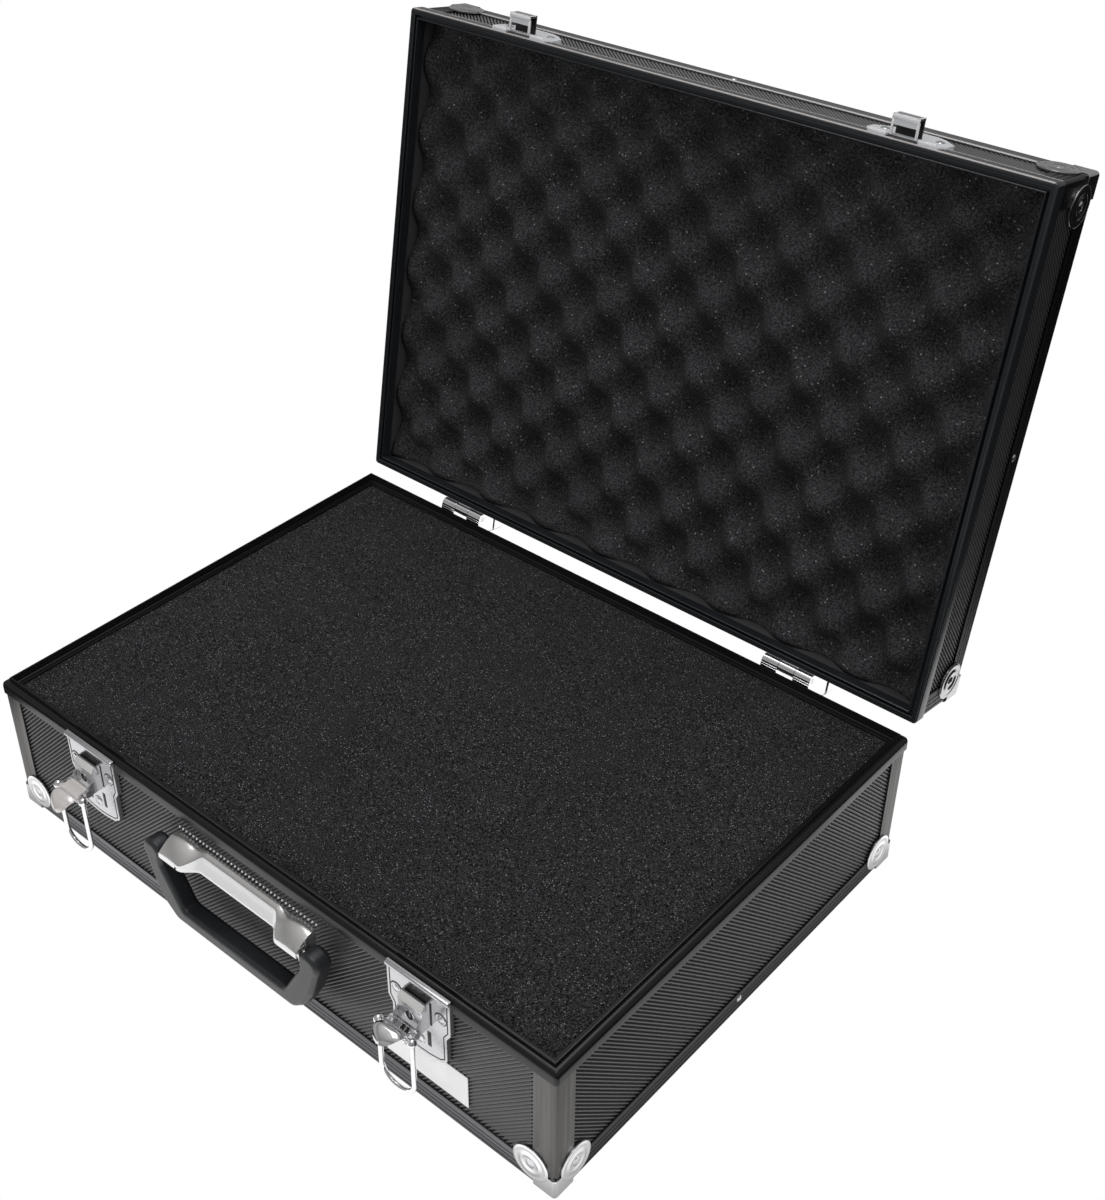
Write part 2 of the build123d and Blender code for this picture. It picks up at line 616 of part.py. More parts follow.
def lock_plug():
    """Round plug in the front of the housing, with a keyway and a cam behind it."""
    front = outward(HOUSING_OUT)
    back = outward(LATCH_PLATE_OUT) - 1.0
    plug = rod_y(LOCK_RADIUS, front - 0.2, back, 0, LOCK_HEIGHT)
    cam_back = front + HOUSING_WALL + 0.2
    plug += block((-1.5, 1.5), (cam_back, cam_back + 1.5), (LOCK_HEIGHT, LOCK_HEIGHT + LOCK_CAM_LENGTH))
    width = KEYHOLE_WIDTH / 2
    length = KEYHOLE_LENGTH / 2
    keyway_y = (front - 1, front + KEYHOLE_DEPTH)
    plug -= block((-width, width), keyway_y, (LOCK_HEIGHT - length, LOCK_HEIGHT + length))
    return plug


def lever():
    """Thumb lever at angle 0: its arm points straight out of the front, with its back up."""
    inner = HOUSING_HALF_WIDTH - HOUSING_WALL - LEVER_SIDE_GAP
    half = LEVER_HALF_WIDTH
    spine = Spline(
        (0, 1.7), (-LEVER_ARM, 2.6), (-LEVER_ARM - 6, 2.9), (-LEVER_LENGTH, LEVER_CURL),
        tangents=[(-1, 0), (-0.35, 1)],
    )
    plate = prism_x(trace(spine, LEVER_THICKNESS), -half, half)
    tip_radius = half - 2.5
    plan = Pos(0, -LEVER_LENGTH / 2) * RectangleRounded(2 * half, LEVER_LENGTH + 2, tip_radius)
    plan += Pos(0, -LEVER_ARM / 2) * Rectangle(2 * half, LEVER_ARM + 2)
    plate &= extrude(Pos(0, 0, -5) * plan, amount=30)
    start = LEVER_EAR_RADIUS + 0.6
    for sign in (-1, 1):
        x_range = sorted((sign * inner, sign * (half + 1)))
        plate -= block(x_range, (-start, 2), (-5, 12))
    body = plate + rod_x(LEVER_BARREL_RADIUS, -inner, inner, 0, 0)
    for sign in (-1, 1):
        x0, x1 = sorted((sign * half, sign * (half - LEVER_EAR_SHEET)))
        ear_y = (-LEVER_ARM - LEVER_EYE_RADIUS, -LEVER_ARM + LEVER_EYE_RADIUS)
        body += block((x0, x1), ear_y, (0, 2.6))
        body += rod_x(LEVER_EYE_RADIUS, x0, x1, -LEVER_ARM, 0)
    bore = LEVER_PIN_RADIUS + LEVER_PIN_CLEARANCE
    body -= rod_x(bore, -half, half, 0, 0)
    body -= rod_x(bore, -half - 1, half + 1, -LEVER_ARM, 0)
    return body


def closed_eye():
    """Where the loop's eye lies, as (out, height), once the lever is pressed flat."""
    angle = math.radians(LEVER_CLOSED_ANGLE)
    return (LEVER_PIVOT_OUT + LEVER_ARM * math.cos(angle),
            LEVER_PIVOT_HEIGHT + LEVER_ARM * math.sin(angle))


def bail_length():
    """From the eye to the middle of the end wire, so that the closed loop sits on the hook."""
    eye_out, eye_height = closed_eye()
    hook_top = BASE_HEIGHT + PARTING_GAP + CATCH_HOOK_FRONT + CATCH_HOOK_DEPTH
    flat = BAIL_HALF_SPACING - BAIL_CORNER_RADIUS
    reach = CATCH_HOOK_HALF_WIDTH - flat
    sag = BAIL_CORNER_RADIUS - math.sqrt(BAIL_CORNER_RADIUS**2 - reach**2)
    seat_height = hook_top + BAIL_WIRE_RADIUS + sag + 0.15
    return math.hypot(eye_out - BAIL_SEAT_OUT, seat_height - eye_height)


def bail():
    """Wire loop hanging straight down from its eye at the origin."""
    spacing = BAIL_HALF_SPACING
    length = bail_length()
    path = FilletPolyline(
        (-spacing, 0, 0), (-spacing, 0, -length), (spacing, 0, -length), (spacing, 0, 0),
        radius=BAIL_CORNER_RADIUS,
    )
    loop = sweep(Plane(path @ 0, z_dir=path % 0) * Circle(BAIL_WIRE_RADIUS), path=path)
    inner = LEVER_HALF_WIDTH + LEVER_SIDE_GAP
    for sign in (-1, 1):
        x0, x1 = sorted((sign * inner, sign * (spacing + BAIL_WIRE_RADIUS)))
        boss = rod_x(BAIL_BOSS_RADIUS, x0, x1, 0, 0)
        rims = boss.edges().filter_by(GeomType.CIRCLE)
        boss = fillet(rims, 0.8)
        stub_x = sorted((sign * (LEVER_HALF_WIDTH - 1.0), sign * (inner + 0.5)))
        loop += boss + rod_x(LEVER_PIN_RADIUS, stub_x[0], stub_x[1], 0, 0)
    return loop


def catch():
    """Keeper on the lid: a riveted plate with two lobes, two lips and a raised hook between."""
    z0 = BASE_HEIGHT + PARTING_GAP
    face = outward(LATCH_PLATE_OUT)
    sheet = CATCH_THICKNESS
    half = CATCH_HALF_WIDTH
    gap = CATCH_GAP_HALF_WIDTH
    low = z0 + CATCH_LIP_GAP
    top = z0 + CATCH_DEPTH
    outline = Polygon(
        (-half, low + 6), (-half + 4, low), (-gap, low), (-gap, low + CATCH_HOOK_DEPTH - 1.5),
        (gap, low + CATCH_HOOK_DEPTH - 1.5), (gap, low), (half - 4, low), (half, low + 6),
        (half, top - 10), (half - 8, top - 3), (gap, top), (-gap, top), (-half + 8, top - 3),
        (-half, top - 10),
        align=None,
    )
    body = prism_y(outline, face, FRONT_FACE)
    hollow = Polygon(
        (-half + sheet, low + sheet), (half - sheet, low + sheet), (half - sheet, top - 10),
        (half - 8, top - 3 - sheet), (gap, top - sheet), (-gap, top - sheet),
        (-half + 8, top - 3 - sheet), (-half + sheet, top - 10), align=None,
    )
    body -= prism_y(hollow, face + sheet, FRONT_FACE)
    body -= block((-half - 1, half + 1), (FRONT, FRONT_FACE + 1), (z0 - 1, z0 + RIM_BAND))
    hook_front = z0 + CATCH_HOOK_FRONT
    hook_back = hook_front + CATCH_HOOK_DEPTH
    wide = CATCH_HOOK_HALF_WIDTH
    side_view = [
        (face + sheet, hook_back), (outward(CATCH_HOOK_OUT), hook_back),
        (outward(CATCH_HOOK_OUT), hook_front), (outward(CATCH_HOOK_LIP), hook_front),
        (outward(CATCH_HOOK_LIP), hook_front + sheet), (outward(CATCH_HOOK_OUT - sheet), hook_front + sheet),
        (outward(CATCH_HOOK_OUT - sheet), hook_back - sheet), (face + sheet, hook_back - sheet),
    ]
    return body + prism_x(side_view, -wide, wide)


# --- Handle ---------------------------------------------------------------------------------
def hood(out, bend, bottom, shrink):
    """Side view of the pressed hood, as a YZ sketch: a quarter ellipse over a short skirt."""
    seat = FRONT_FACE
    top = HANDLE_PLATE_TOP - shrink
    front = outward(out - shrink)
    low = bottom - shrink
    dome = EllipticalCenterArc((seat, bend), seat - front, top - bend, start_angle=90, arc_size=90)
    skirt = Polyline((front, bend), (front, low), (seat, low), (seat, top))
    return make_face(dome + skirt)


def hood_body(shrink, end):
    """The hood as a solid: two deep humps, a shallow middle and the shoulders between."""
    deep = hood(HANDLE_HUMP_OUT, HANDLE_HUMP_BEND, HANDLE_HUMP_BOTTOM, shrink)
    shallow = hood(HANDLE_MID_OUT, HANDLE_MID_BEND, HANDLE_MID_BOTTOM, shrink)
    mid = HANDLE_HUMP_INNER - HANDLE_SHOULDER
    body = prism_x(shallow, -mid, mid)
    for sign in (-1, 1):
        x0, x1 = sorted((sign * HANDLE_HUMP_INNER, sign * end))
        body += prism_x(deep, x0, x1)
        wide = Plane.YZ.offset(sign * HANDLE_HUMP_INNER) * deep
        narrow = Plane.YZ.offset(sign * mid) * shallow
        body += loft([wide, narrow])
    return body


def handle_plate():
    """Pressed plate on the front that carries the handle at both ends."""
    sheet = HANDLE_PLATE_SHEET
    half = HANDLE_HALF_WIDTH
    body = hood_body(0, half) - hood_body(sheet, half - sheet)
    for sign in (-1, 1):
        x0, x1 = sorted((sign * (half - sheet - 1), sign * (half + 1)))
        body -= rod_x(HANDLE_PIVOT_RADIUS, x0, x1, outward(HANDLE_PIVOT_OUT), HANDLE_PIVOT_HEIGHT)
    return body


def handle_pivots():
    """Two headed pins, one through each end of the plate into the handle's arm."""
    y = outward(HANDLE_PIVOT_OUT)
    z = HANDLE_PIVOT_HEIGHT
    head_end = HANDLE_HALF_WIDTH - HANDLE_PLATE_SHEET
    arm_end = HANDLE_HALF_WIDTH + HANDLE_SIDE_GAP + HANDLE_ARM_WIDTH - 3.5
    pins = []
    for sign in (-1, 1):
        head = rod_x(HANDLE_PIVOT_RADIUS + 1.4, *sorted((sign * (head_end - 2), sign * head_end)), y, z)
        shank = rod_x(HANDLE_PIVOT_RADIUS, *sorted((sign * (head_end - 1), sign * arm_end)), y, z)
        pins.append(head + shank)
    return solids_of(*pins)


def handle_grip():
    """Moulded handle: two arms with round tops and a grip between them, hanging straight down."""
    inner = HANDLE_HALF_WIDTH + HANDLE_SIDE_GAP
    outer = inner + HANDLE_ARM_WIDTH
    pivot = HANDLE_PIVOT_HEIGHT
    grip_top = HANDLE_BOTTOM + HANDLE_GRIP_HEIGHT
    right_side = [(HANDLE_FOOT, HANDLE_BOTTOM)]
    for x, rise in (HANDLE_HEEL, HANDLE_KNEE):
        right_side.append((x, HANDLE_BOTTOM + rise))
    right_side.append((outer, pivot))
    left_side = [(-x, z) for x, z in reversed(right_side)]
    outline = Polygon(*left_side, *right_side, align=None)
    corners = outline.vertices().filter_by(lambda vertex: vertex.Y < pivot - 1)
    outline = fillet(corners, 8)
    lobe = HANDLE_ARM_WIDTH / 2
    for sign in (-1, 1):
        outline += Pos(sign * (outer - lobe), pivot) * Circle(lobe)
    foot = HANDLE_WINDOW_FOOT
    shoulder = pivot - HANDLE_WINDOW_DROP
    above = pivot + 2 * HANDLE_ARM_WIDTH
    window = Polygon(
        (-inner, above), (-inner, shoulder), (-foot, grip_top), (foot, grip_top),
        (inner, shoulder), (inner, above), align=None,
    )
    window = fillet(window.vertices().filter_by(lambda vertex: vertex.Y < pivot), 5)
    y0 = outward(HANDLE_PIVOT_OUT + HANDLE_DEPTH / 2)
    y1 = outward(HANDLE_PIVOT_OUT - HANDLE_DEPTH / 2)
    body = prism_y(outline - window, y0, y1)
    rims = body.edges().filter_by(lambda edge: edge.length > 1 and on_face(edge, (y0, y1)))
    body = fillet(rims, HANDLE_ROUNDING)
    bore = HANDLE_PIVOT_RADIUS + HANDLE_PIVOT_CLEARANCE
    for sign in (-1, 1):
        x0, x1 = sorted((sign * (inner - 1), sign * (outer - 3)))
        body -= rod_x(bore, x0, x1, outward(HANDLE_PIVOT_OUT), pivot)
    return body


def on_face(edge, faces_y):
    """Whether an edge lies flat in one of two planes across Y."""
    box = edge.bounding_box()
    return any(abs(box.min.Y - y) < 1e-4 and abs(box.max.Y - y) < 1e-4 for y in faces_y)


# --- Foam and label -------------------------------------------------------------------------
def base_foam():
    """Foam block: its body fills the tray, and its top stands up inside the rim."""
    x = HALF_WIDTH - PANEL_INNER - FOAM_GAP
    y = HALF_DEPTH - PANEL_INNER - FOAM_GAP
    shoulder = BASE_HEIGHT - RIM_CLIP - FOAM_GAP
    body = block((-x, x), (-y, y), (PANEL_INNER, shoulder))
    top_x = HALF_WIDTH - FOAM_TOP_INSET
    top_y = HALF_DEPTH - FOAM_TOP_INSET
    return body + block((-top_x, top_x), (-top_y, top_y), (shoulder - 1, BASE_HEIGHT - BASE_FOAM_DROP))


def crate_places(x, y):
    """Centres of the pits and of the bumps of the egg-crate sheet, row by row from the hinges."""
    pits = []
    bumps = []
    columns = math.ceil(4 * x / CRATE_PITCH_X)
    rows = math.ceil(4 * y / CRATE_PITCH_Y)
    for column in range(-2, columns):
        for row in range(-2, rows):
            place_x = -x + CRATE_FIRST_X + column * CRATE_PITCH_X / 2
            place_y = y - CRATE_FIRST_Y - row * CRATE_PITCH_Y / 2
            inside = abs(place_x) < x - CRATE_MARGIN and abs(place_y) < y - CRATE_MARGIN
            if inside and (column + row) % 2 == 0:
                pits.append((place_x, place_y))
            elif inside:
                bumps.append((place_x, place_y))
    return pits, bumps


def lid_foam():
    """Egg-crate foam sheet glued into the lid: round bumps and round pits, turn and turn about."""
    x = HALF_WIDTH - PANEL_INNER - FOAM_GAP
    y = HALF_DEPTH - PANEL_INNER - FOAM_GAP
    low = BASE_HEIGHT + PARTING_GAP + LID_FOAM_DROP
    middle = low + CRATE_RISE
    top = CASE_HEIGHT - PANEL_INNER
    pits, bumps = crate_places(x, y)
    radius = (CRATE_RADIUS**2 + CRATE_RISE**2) / (2 * CRATE_RISE)
    spare = 2 * radius
    bulges = [Pos(place_x, place_y, low + radius) * Sphere(radius) for place_x, place_y in bumps]
    sheet = block((-x - spare, x + spare), (-y - spare, y + spare), (middle, top)) + bulges
    hollow_z = middle + CRATE_RISE - radius
    hollows = [Pos(place_x, place_y, hollow_z) * Sphere(radius) for place_x, place_y in pits]
    return (sheet & block((-x, x), (-y, y), (low - 1, top))) - hollows


def label_plate():
    y = FRONT_FACE
    across = (LABEL_LEFT, LABEL_LEFT + LABEL_WIDTH)
    return block(across, (y - LABEL_THICKNESS, y), (LABEL_FOOT, LABEL_TOP))


# --- Assembly -------------------------------------------------------------------------------
def boxes_meet(first, second):
    a = first.bounding_box()
    b = second.bounding_box()
    apart_x = a.max.X < b.min.X or b.max.X < a.min.X
    apart_y = a.max.Y < b.min.Y or b.max.Y < a.min.Y
    apart_z = a.max.Z < b.min.Z or b.max.Z < a.min.Z
    return not (apart_x or apart_y or apart_z)


def pierce(parts, names, holes):
    """Drill each hole through every named part that it reaches."""
    for name in names:
        near = [hole for hole in holes if boxes_meet(parts[name], hole)]
        if near:
            parts[name] = solids_of(parts[name] - near)


def build_base():
    half, holes = case_half(BASE_HEIGHT, base_rim_profile(), RIM_WEB)
    edge_set = half.pop("edge_rivets")
    parts = {"base_" + name: shape for name, shape in half.items()}
    plate_set = []
    face = outward(LATCH_PLATE_OUT)
    latch_grip = LATCH_PLATE_OUT + PANEL_INNER
    spots = [(-LATCH_RIVET_OFFSET, LATCH_RIVET_HEIGHT), (LATCH_RIVET_OFFSET, LATCH_RIVET_HEIGHT)]
    spots.append((0.0, LATCH_LOW_RIVET_HEIGHT))
    for side, sign in SIGN.items():
        centre = sign * LATCH_CENTRE
        for x, z in spots:
            place = Pos(centre + x, face, z) * Rot(90, 0, 0)
            plate_set.append(place * rivet(PLATE_RIVET_RADIUS, latch_grip))
            holes.append(place * rivet_hole(latch_grip))
        parts["latch_plate_" + side] = Pos(centre, 0, 0) * latch_plate()
        parts["latch_housing_" + side] = Pos(centre, 0, 0) * latch_housing()
        parts["latch_lock_" + side] = Pos(centre, 0, 0) * lock_plug()
        angle = LEVER_REST_ANGLE[side]
        pivot = Pos(centre, outward(LEVER_PIVOT_OUT), LEVER_PIVOT_HEIGHT)
        parts["latch_lever_" + side] = pivot * Rot(-angle, 0, 0) * lever()
        eye_out = LEVER_ARM * math.cos(math.radians(angle))
        eye_up = LEVER_ARM * math.sin(math.radians(angle))
        parts["latch_bail_" + side] = pivot * Pos(0, -eye_out, eye_up) * bail()
        band_edge = BASE_HEIGHT - RIM_BAND
        parts["hinge_base_leaf_" + side] = hinge_leaf(sign * HINGE_CENTRE, -1, band_edge)
        hinge_grip = LEAF_THICKNESS + PANEL_THICKNESS
        for place in hinge_rivet_places(sign * HINGE_CENTRE, -1, band_edge):
            plate_set.append(place * rivet(PLATE_RIVET_RADIUS, hinge_grip))
            holes.append(place * rivet_hole(hinge_grip))
    parts["latch_lever_pins"] = solids_of(*[Pos(s * LATCH_CENTRE, 0, 0) * lever_pin() for s in (-1, 1)])
    reach = KNUCKLE_LENGTH * 1.5 + KNUCKLE_GAP
    pins = [rod_x(HINGE_PIN_RADIUS, s * HINGE_CENTRE - reach, s * HINGE_CENTRE + reach, HINGE_Y, HINGE_Z)
            for s in (-1, 1)]
    parts["hinge_pins"] = solids_of(*pins)
    parts["handle_plate"] = handle_plate()
    parts["handle_pivots"] = handle_pivots()
    parts["handle_grip"] = handle_grip()
    parts["base_foam"] = base_foam()
    parts["label_plate"] = label_plate()
    pierced = ["base_panel_front", "base_panel_back", "base_panel_left", "base_panel_right"]
    pierced += ["base_panel_flat", "base_corner_caps"] + ["base_edge_" + side for side in SIDES]
    pierced += ["latch_plate_left", "latch_plate_right"]
    pierced += ["hinge_base_leaf_left", "hinge_base_leaf_right", "base_corner_posts"]
    pierce(parts, pierced, holes)
    parts["base_rivets"] = solids_of(*edge_set, *plate_set)
    return parts


def build_lid():
    """The lid, made closed and then swung open about the hinge pins."""
    half, holes = case_half(LID_HEIGHT, lid_rim_profile(), GROOVE_DEPTH + EDGE_THICKNESS)
    edge_set = half.pop("edge_rivets")

    def turned_over(shape):
        return Pos(0, 0, CASE_HEIGHT) * mirror(shape, Plane.XY)

    parts = {"lid_" + name: turned_over(shape) for name, shape in half.items()}
    holes = [turned_over(hole) for hole in holes]
    plate_set = [turned_over(item) for item in edge_set]
    face = outward(LATCH_PLATE_OUT)
    z0 = BASE_HEIGHT + PARTING_GAP
    grip = LATCH_PLATE_OUT + PANEL_INNER
    band_edge = z0 + RIM_BAND
    for side, sign in SIGN.items():
        centre = sign * LATCH_CENTRE
        parts["lid_catch_" + side] = Pos(centre, 0, 0) * catch()
        for offset in (-1, 1):
            place = Pos(centre + offset * CATCH_RIVET_OFFSET, face, z0 + CATCH_RIVET_HEIGHT) * Rot(90, 0, 0)
            plate_set.append(place * rivet(PLATE_RIVET_RADIUS, grip))
            holes.append(place * rivet_hole(grip))
        parts["hinge_lid_leaf_" + side] = hinge_leaf(sign * HINGE_CENTRE, 1, band_edge)
        hinge_grip = LEAF_THICKNESS + PANEL_THICKNESS
        for place in hinge_rivet_places(sign * HINGE_CENTRE, 1, band_edge):
            plate_set.append(place * rivet(PLATE_RIVET_RADIUS, hinge_grip))
            holes.append(place * rivet_hole(hinge_grip))
    parts["lid_foam"] = lid_foam()
    pierced = ["lid_panel_front", "lid_panel_back", "lid_panel_left", "lid_panel_right"]
    pierced += ["lid_panel_flat", "lid_corner_caps"] + ["lid_edge_" + side for side in SIDES]
    pierced += ["lid_catch_left", "lid_catch_right"]
    pierced += ["hinge_lid_leaf_left", "hinge_lid_leaf_right", "lid_corner_posts"]
    pierce(parts, pierced, holes)
    parts["lid_rivets"] = solids_of(*plate_set)
    return {name: shape.rotate(HINGE_AXIS, -LID_OPENING) for name, shape in parts.items()}


def main():
    os.makedirs("parts", exist_ok=True)
    parts = {**build_base(), **build_lid()}
    boxes = [shape.bounding_box() for shape in parts.values()]
    front = min(box.min.Y for box in boxes)
    back = max(box.max.Y for box in boxes)
    shift = -(front + back) / 2
    print("nodes", len(parts), "shift in Y", round(shift, 4))
    for name, shape in parts.items():
        placed = Pos(0, shift, 0) * shape
        export_step(placed, "parts/" + name + ".step")


main()
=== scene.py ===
import json
import math

import bmesh
import bpy
from mathutils import Matrix, Vector, noise


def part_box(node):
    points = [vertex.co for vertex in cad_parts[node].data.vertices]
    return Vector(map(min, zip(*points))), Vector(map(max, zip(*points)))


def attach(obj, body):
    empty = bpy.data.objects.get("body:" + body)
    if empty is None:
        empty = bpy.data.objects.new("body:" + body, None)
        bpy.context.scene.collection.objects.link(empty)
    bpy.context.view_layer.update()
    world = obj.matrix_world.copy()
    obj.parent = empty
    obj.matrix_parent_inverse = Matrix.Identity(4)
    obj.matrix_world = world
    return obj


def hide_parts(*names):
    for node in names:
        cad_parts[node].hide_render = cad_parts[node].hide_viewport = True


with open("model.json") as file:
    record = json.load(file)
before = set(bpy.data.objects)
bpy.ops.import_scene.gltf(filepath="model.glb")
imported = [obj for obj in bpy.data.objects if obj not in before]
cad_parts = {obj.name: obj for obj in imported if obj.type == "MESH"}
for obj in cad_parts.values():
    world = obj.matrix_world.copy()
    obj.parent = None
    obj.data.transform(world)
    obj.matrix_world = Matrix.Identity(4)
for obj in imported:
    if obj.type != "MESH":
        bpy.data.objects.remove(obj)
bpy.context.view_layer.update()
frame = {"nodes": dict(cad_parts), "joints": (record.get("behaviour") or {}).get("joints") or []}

# --- Camera ---------------------------------------------------------------------------------
# A long lens looks down on the front right corner of the open case. The solved place is given
# for a case centred on its own base, so it moves with the base as the frame stores it.
HALF_LONG, HALF_WIDE = 0.230, 0.165
case_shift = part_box("base_rim_front")[0].y + HALF_WIDE
camera_right = Vector((0.746896, 0.664878, -0.009165))
camera_up = Vector((-0.381235, 0.439475, 0.813340))
camera_back = Vector((0.544799, -0.603986, 0.581717))
camera_data = bpy.data.cameras.new("camera")
camera_data.lens = 50.16
camera_data.sensor_width = 36.0
camera_data.shift_x = 0.04375
camera_data.shift_y = -0.0208
camera_data.clip_end = 30.0
camera = bpy.data.objects.new("camera", camera_data)
turn = Matrix((camera_right, camera_up, camera_back)).transposed().to_4x4()
camera_place = (0.556741, -0.564218 + case_shift, 0.768371)
camera.matrix_world = Matrix.Translation(camera_place) @ turn
bpy.context.scene.collection.objects.link(camera)
bpy.context.scene.camera = camera
bpy.context.scene.view_settings.view_transform = "Standard"

# --- Studio ---------------------------------------------------------------------------------
# White surroundings, brightest overhead and with a darker band below for polished metal to
# reflect, three soft boxes, and a white table. The table shows white to the camera and lights
# the rest with a painted glow, which is no lamp: a painted contact shadow dims it at the foot of
# the case, it is full close before and behind the case, and it falls off beyond.
SKY_STRENGTH = 0.62
SKY_STOPS = ((0.0, 0.50), (1.0, 1.0), (0.30, 0.62), (0.55, 0.34))
TABLE_HALF = 6.0


def link_up(tree, *runs):
    """Links sockets in a node tree. A run is a node, its output, the next node and its input."""
    for source, output, target, entry in runs:
        tree.links.new(source.outputs[output], target.inputs[entry])


def math_node(tree, operation, *values):
    """One sum in a node tree, of sockets and plain numbers. Gives the socket of its result."""
    node = tree.nodes.new("ShaderNodeMath")
    node.operation = operation
    for slot, value in enumerate(values):
        if isinstance(value, (int, float)):
            node.inputs[slot].default_value = value
        else:
            tree.links.new(value, node.inputs[slot])
    return node.outputs["Value"]


def split_view(tree, lit, seen, output):
    """Shows one shader to the camera, while another lights the scene."""
    path = tree.nodes.new("ShaderNodeLightPath")
    mix = tree.nodes.new("ShaderNodeMixShader")
    out = tree.nodes.new(output)
    link_up(tree, (path, "Is Camera Ray", mix, "Fac"), (lit, 0, mix, 1), (seen, 0, mix, 2),
            (mix, "Shader", out, "Surface"))


world = bpy.data.worlds.new("studio")
bpy.context.scene.world = world
world.use_nodes = True
sky = world.node_tree
sky.nodes.clear()
sky_seen = sky.nodes.new("ShaderNodeBackground")
sky_seen.inputs["Color"].default_value = (1.0, 1.0, 1.0, 1.0)
sky_lit = sky.nodes.new("ShaderNodeBackground")
sky_lit.inputs["Strength"].default_value = SKY_STRENGTH
sky_place = sky.nodes.new("ShaderNodeTexCoord")
sky_split = sky.nodes.new("ShaderNodeSeparateXYZ")
sky_ramp = sky.nodes.new("ShaderNodeValToRGB")
for stop, (place, shade) in zip(
    [sky_ramp.color_ramp.elements[0], sky_ramp.color_ramp.elements[1]]
    + [sky_ramp.color_ramp.elements.new(0.5) for _ in range(2)],
    SKY_STOPS,
):
    stop.position = place
    stop.color = (shade, shade, shade, 1.0)
link_up(sky, (sky_place, "Generated", sky_split, "Vector"), (sky_split, "Z", sky_ramp, "Fac"),
        (sky_ramp, "Color", sky_lit, "Color"))
split_view(sky, sky_lit, sky_seen, "ShaderNodeOutputWorld")


def soft_box(name, place, target, width, height, watts, shown=False):
    """A rectangular soft box that faces a point on the case, shown in polished metal or not."""
    data = bpy.data.lights.new(name, "AREA")
    data.shape = "RECTANGLE"
    data.size = width
    data.size_y = height
    data.energy = watts
    lamp = bpy.data.objects.new(name, data)
    direction = Vector(target) - Vector(place)
    lamp.location = place
    lamp.visible_glossy = shown
    lamp.rotation_euler = direction.to_track_quat("-Z", "Y").to_euler()
    bpy.context.scene.collection.objects.link(lamp)


soft_box("overhead_box", (0.1, 0.1, 1.9), (0.0, 0.0, 0.1), 1.8, 1.2, 16.0, shown=True)
soft_box("front_box", (-0.7, -1.9, 1.0), (0.0, -0.1, 0.1), 1.2, 0.9, 12.0)
soft_box("side_box", (2.0, -0.4, 0.9), (0.1, 0.0, 0.15), 1.2, 0.8, 6.0)

table_mesh = bmesh.new()
bmesh.ops.create_grid(table_mesh, x_segments=1, y_segments=1, size=TABLE_HALF)
table_data = bpy.data.meshes.new("table")
table_mesh.to_mesh(table_data)
table_mesh.free()
table = bpy.data.objects.new("table", table_data)
bpy.context.scene.collection.objects.link(table)
table_paint = bpy.data.materials.new("table_white")
table_paint.use_nodes = True
sheet = table_paint.node_tree
sheet.nodes.clear()
sheet_place = sheet.nodes.new("ShaderNodeTexCoord")
sheet_split = sheet.nodes.new("ShaderNodeSeparateXYZ")
link_up(sheet, (sheet_place, "Object", sheet_split, "Vector"))


def sheet_fade(value, start, end, first, last):
    """A brightness that runs from one level to another between two distances."""
    node = sheet.nodes.new("ShaderNodeMapRange")
    node.interpolation_type = "SMOOTHSTEP"
    for label, number in (("From Min", start), ("From Max", end), ("To Min", first), ("To Max", last)):
        node.inputs[label].default_value = number
    sheet.links.new(value, node.inputs["Value"])
    return node.outputs["Result"]


beside = math_node(sheet, "SUBTRACT", math_node(sheet, "ABSOLUTE", sheet_split.outputs["X"]), HALF_LONG)
along = math_node(sheet, "ADD", sheet_split.outputs["Y"], -case_shift)
before = math_node(sheet, "SUBTRACT", math_node(sheet, "ABSOLUTE", along), HALF_WIDE)
# Painted contact shadow at the foot of the case, then painted glow that fades further out.
glow = sheet_fade(math_node(sheet, "MAXIMUM", beside, before), -0.004, 0.024, 0.34, 0.90)
for distance, fade in ((beside, (0.082, 0.100, 1.0, 0.03)), (before, (0.0, 0.02, 1.0, 1.28)),
                       (before, (0.17, 0.34, 1.0, 0.25))):
    glow = math_node(sheet, "MULTIPLY", glow, sheet_fade(distance, *fade))
sheet_lit = sheet.nodes.new("ShaderNodeEmission")
sheet_seen = sheet.nodes.new("ShaderNodeEmission")
sheet.links.new(glow, sheet_lit.inputs["Strength"])
split_view(sheet, sheet_lit, sheet_seen, "ShaderNodeOutputMaterial")
table_data.materials.append(table_paint)

# --- Ribbed wall panels ---------------------------------------------------------------------
# Thin board faced with black plastic sheet, embossed with fine 45 degree ribs that lean one way
# on the base and the other way on the lid. Each panel slides into the slots of the edge angles,
# so only its ribbed face shows.
# One flank of every rib is painted darker than the rest, a painted shade.
RIB_PITCH, RIB_HEIGHT = 0.00215, 0.00095
RIB_STEPS = (0.0, 0.55, 1.0, 0.9)
RISING, FALLING = math.radians(45.0), math.radians(135.0)
PANEL_DEPTH = 0.0022
EDGE_COVER, SHADOW_STRIP_WIDTH, SHADOW_STRIP_SINK = 0.016, 0.0022, 0.00038
OPENINGS = {"base": (0.016, 0.0930), "lid": (0.1103, 0.1390)}
PANEL_BOXES = {}
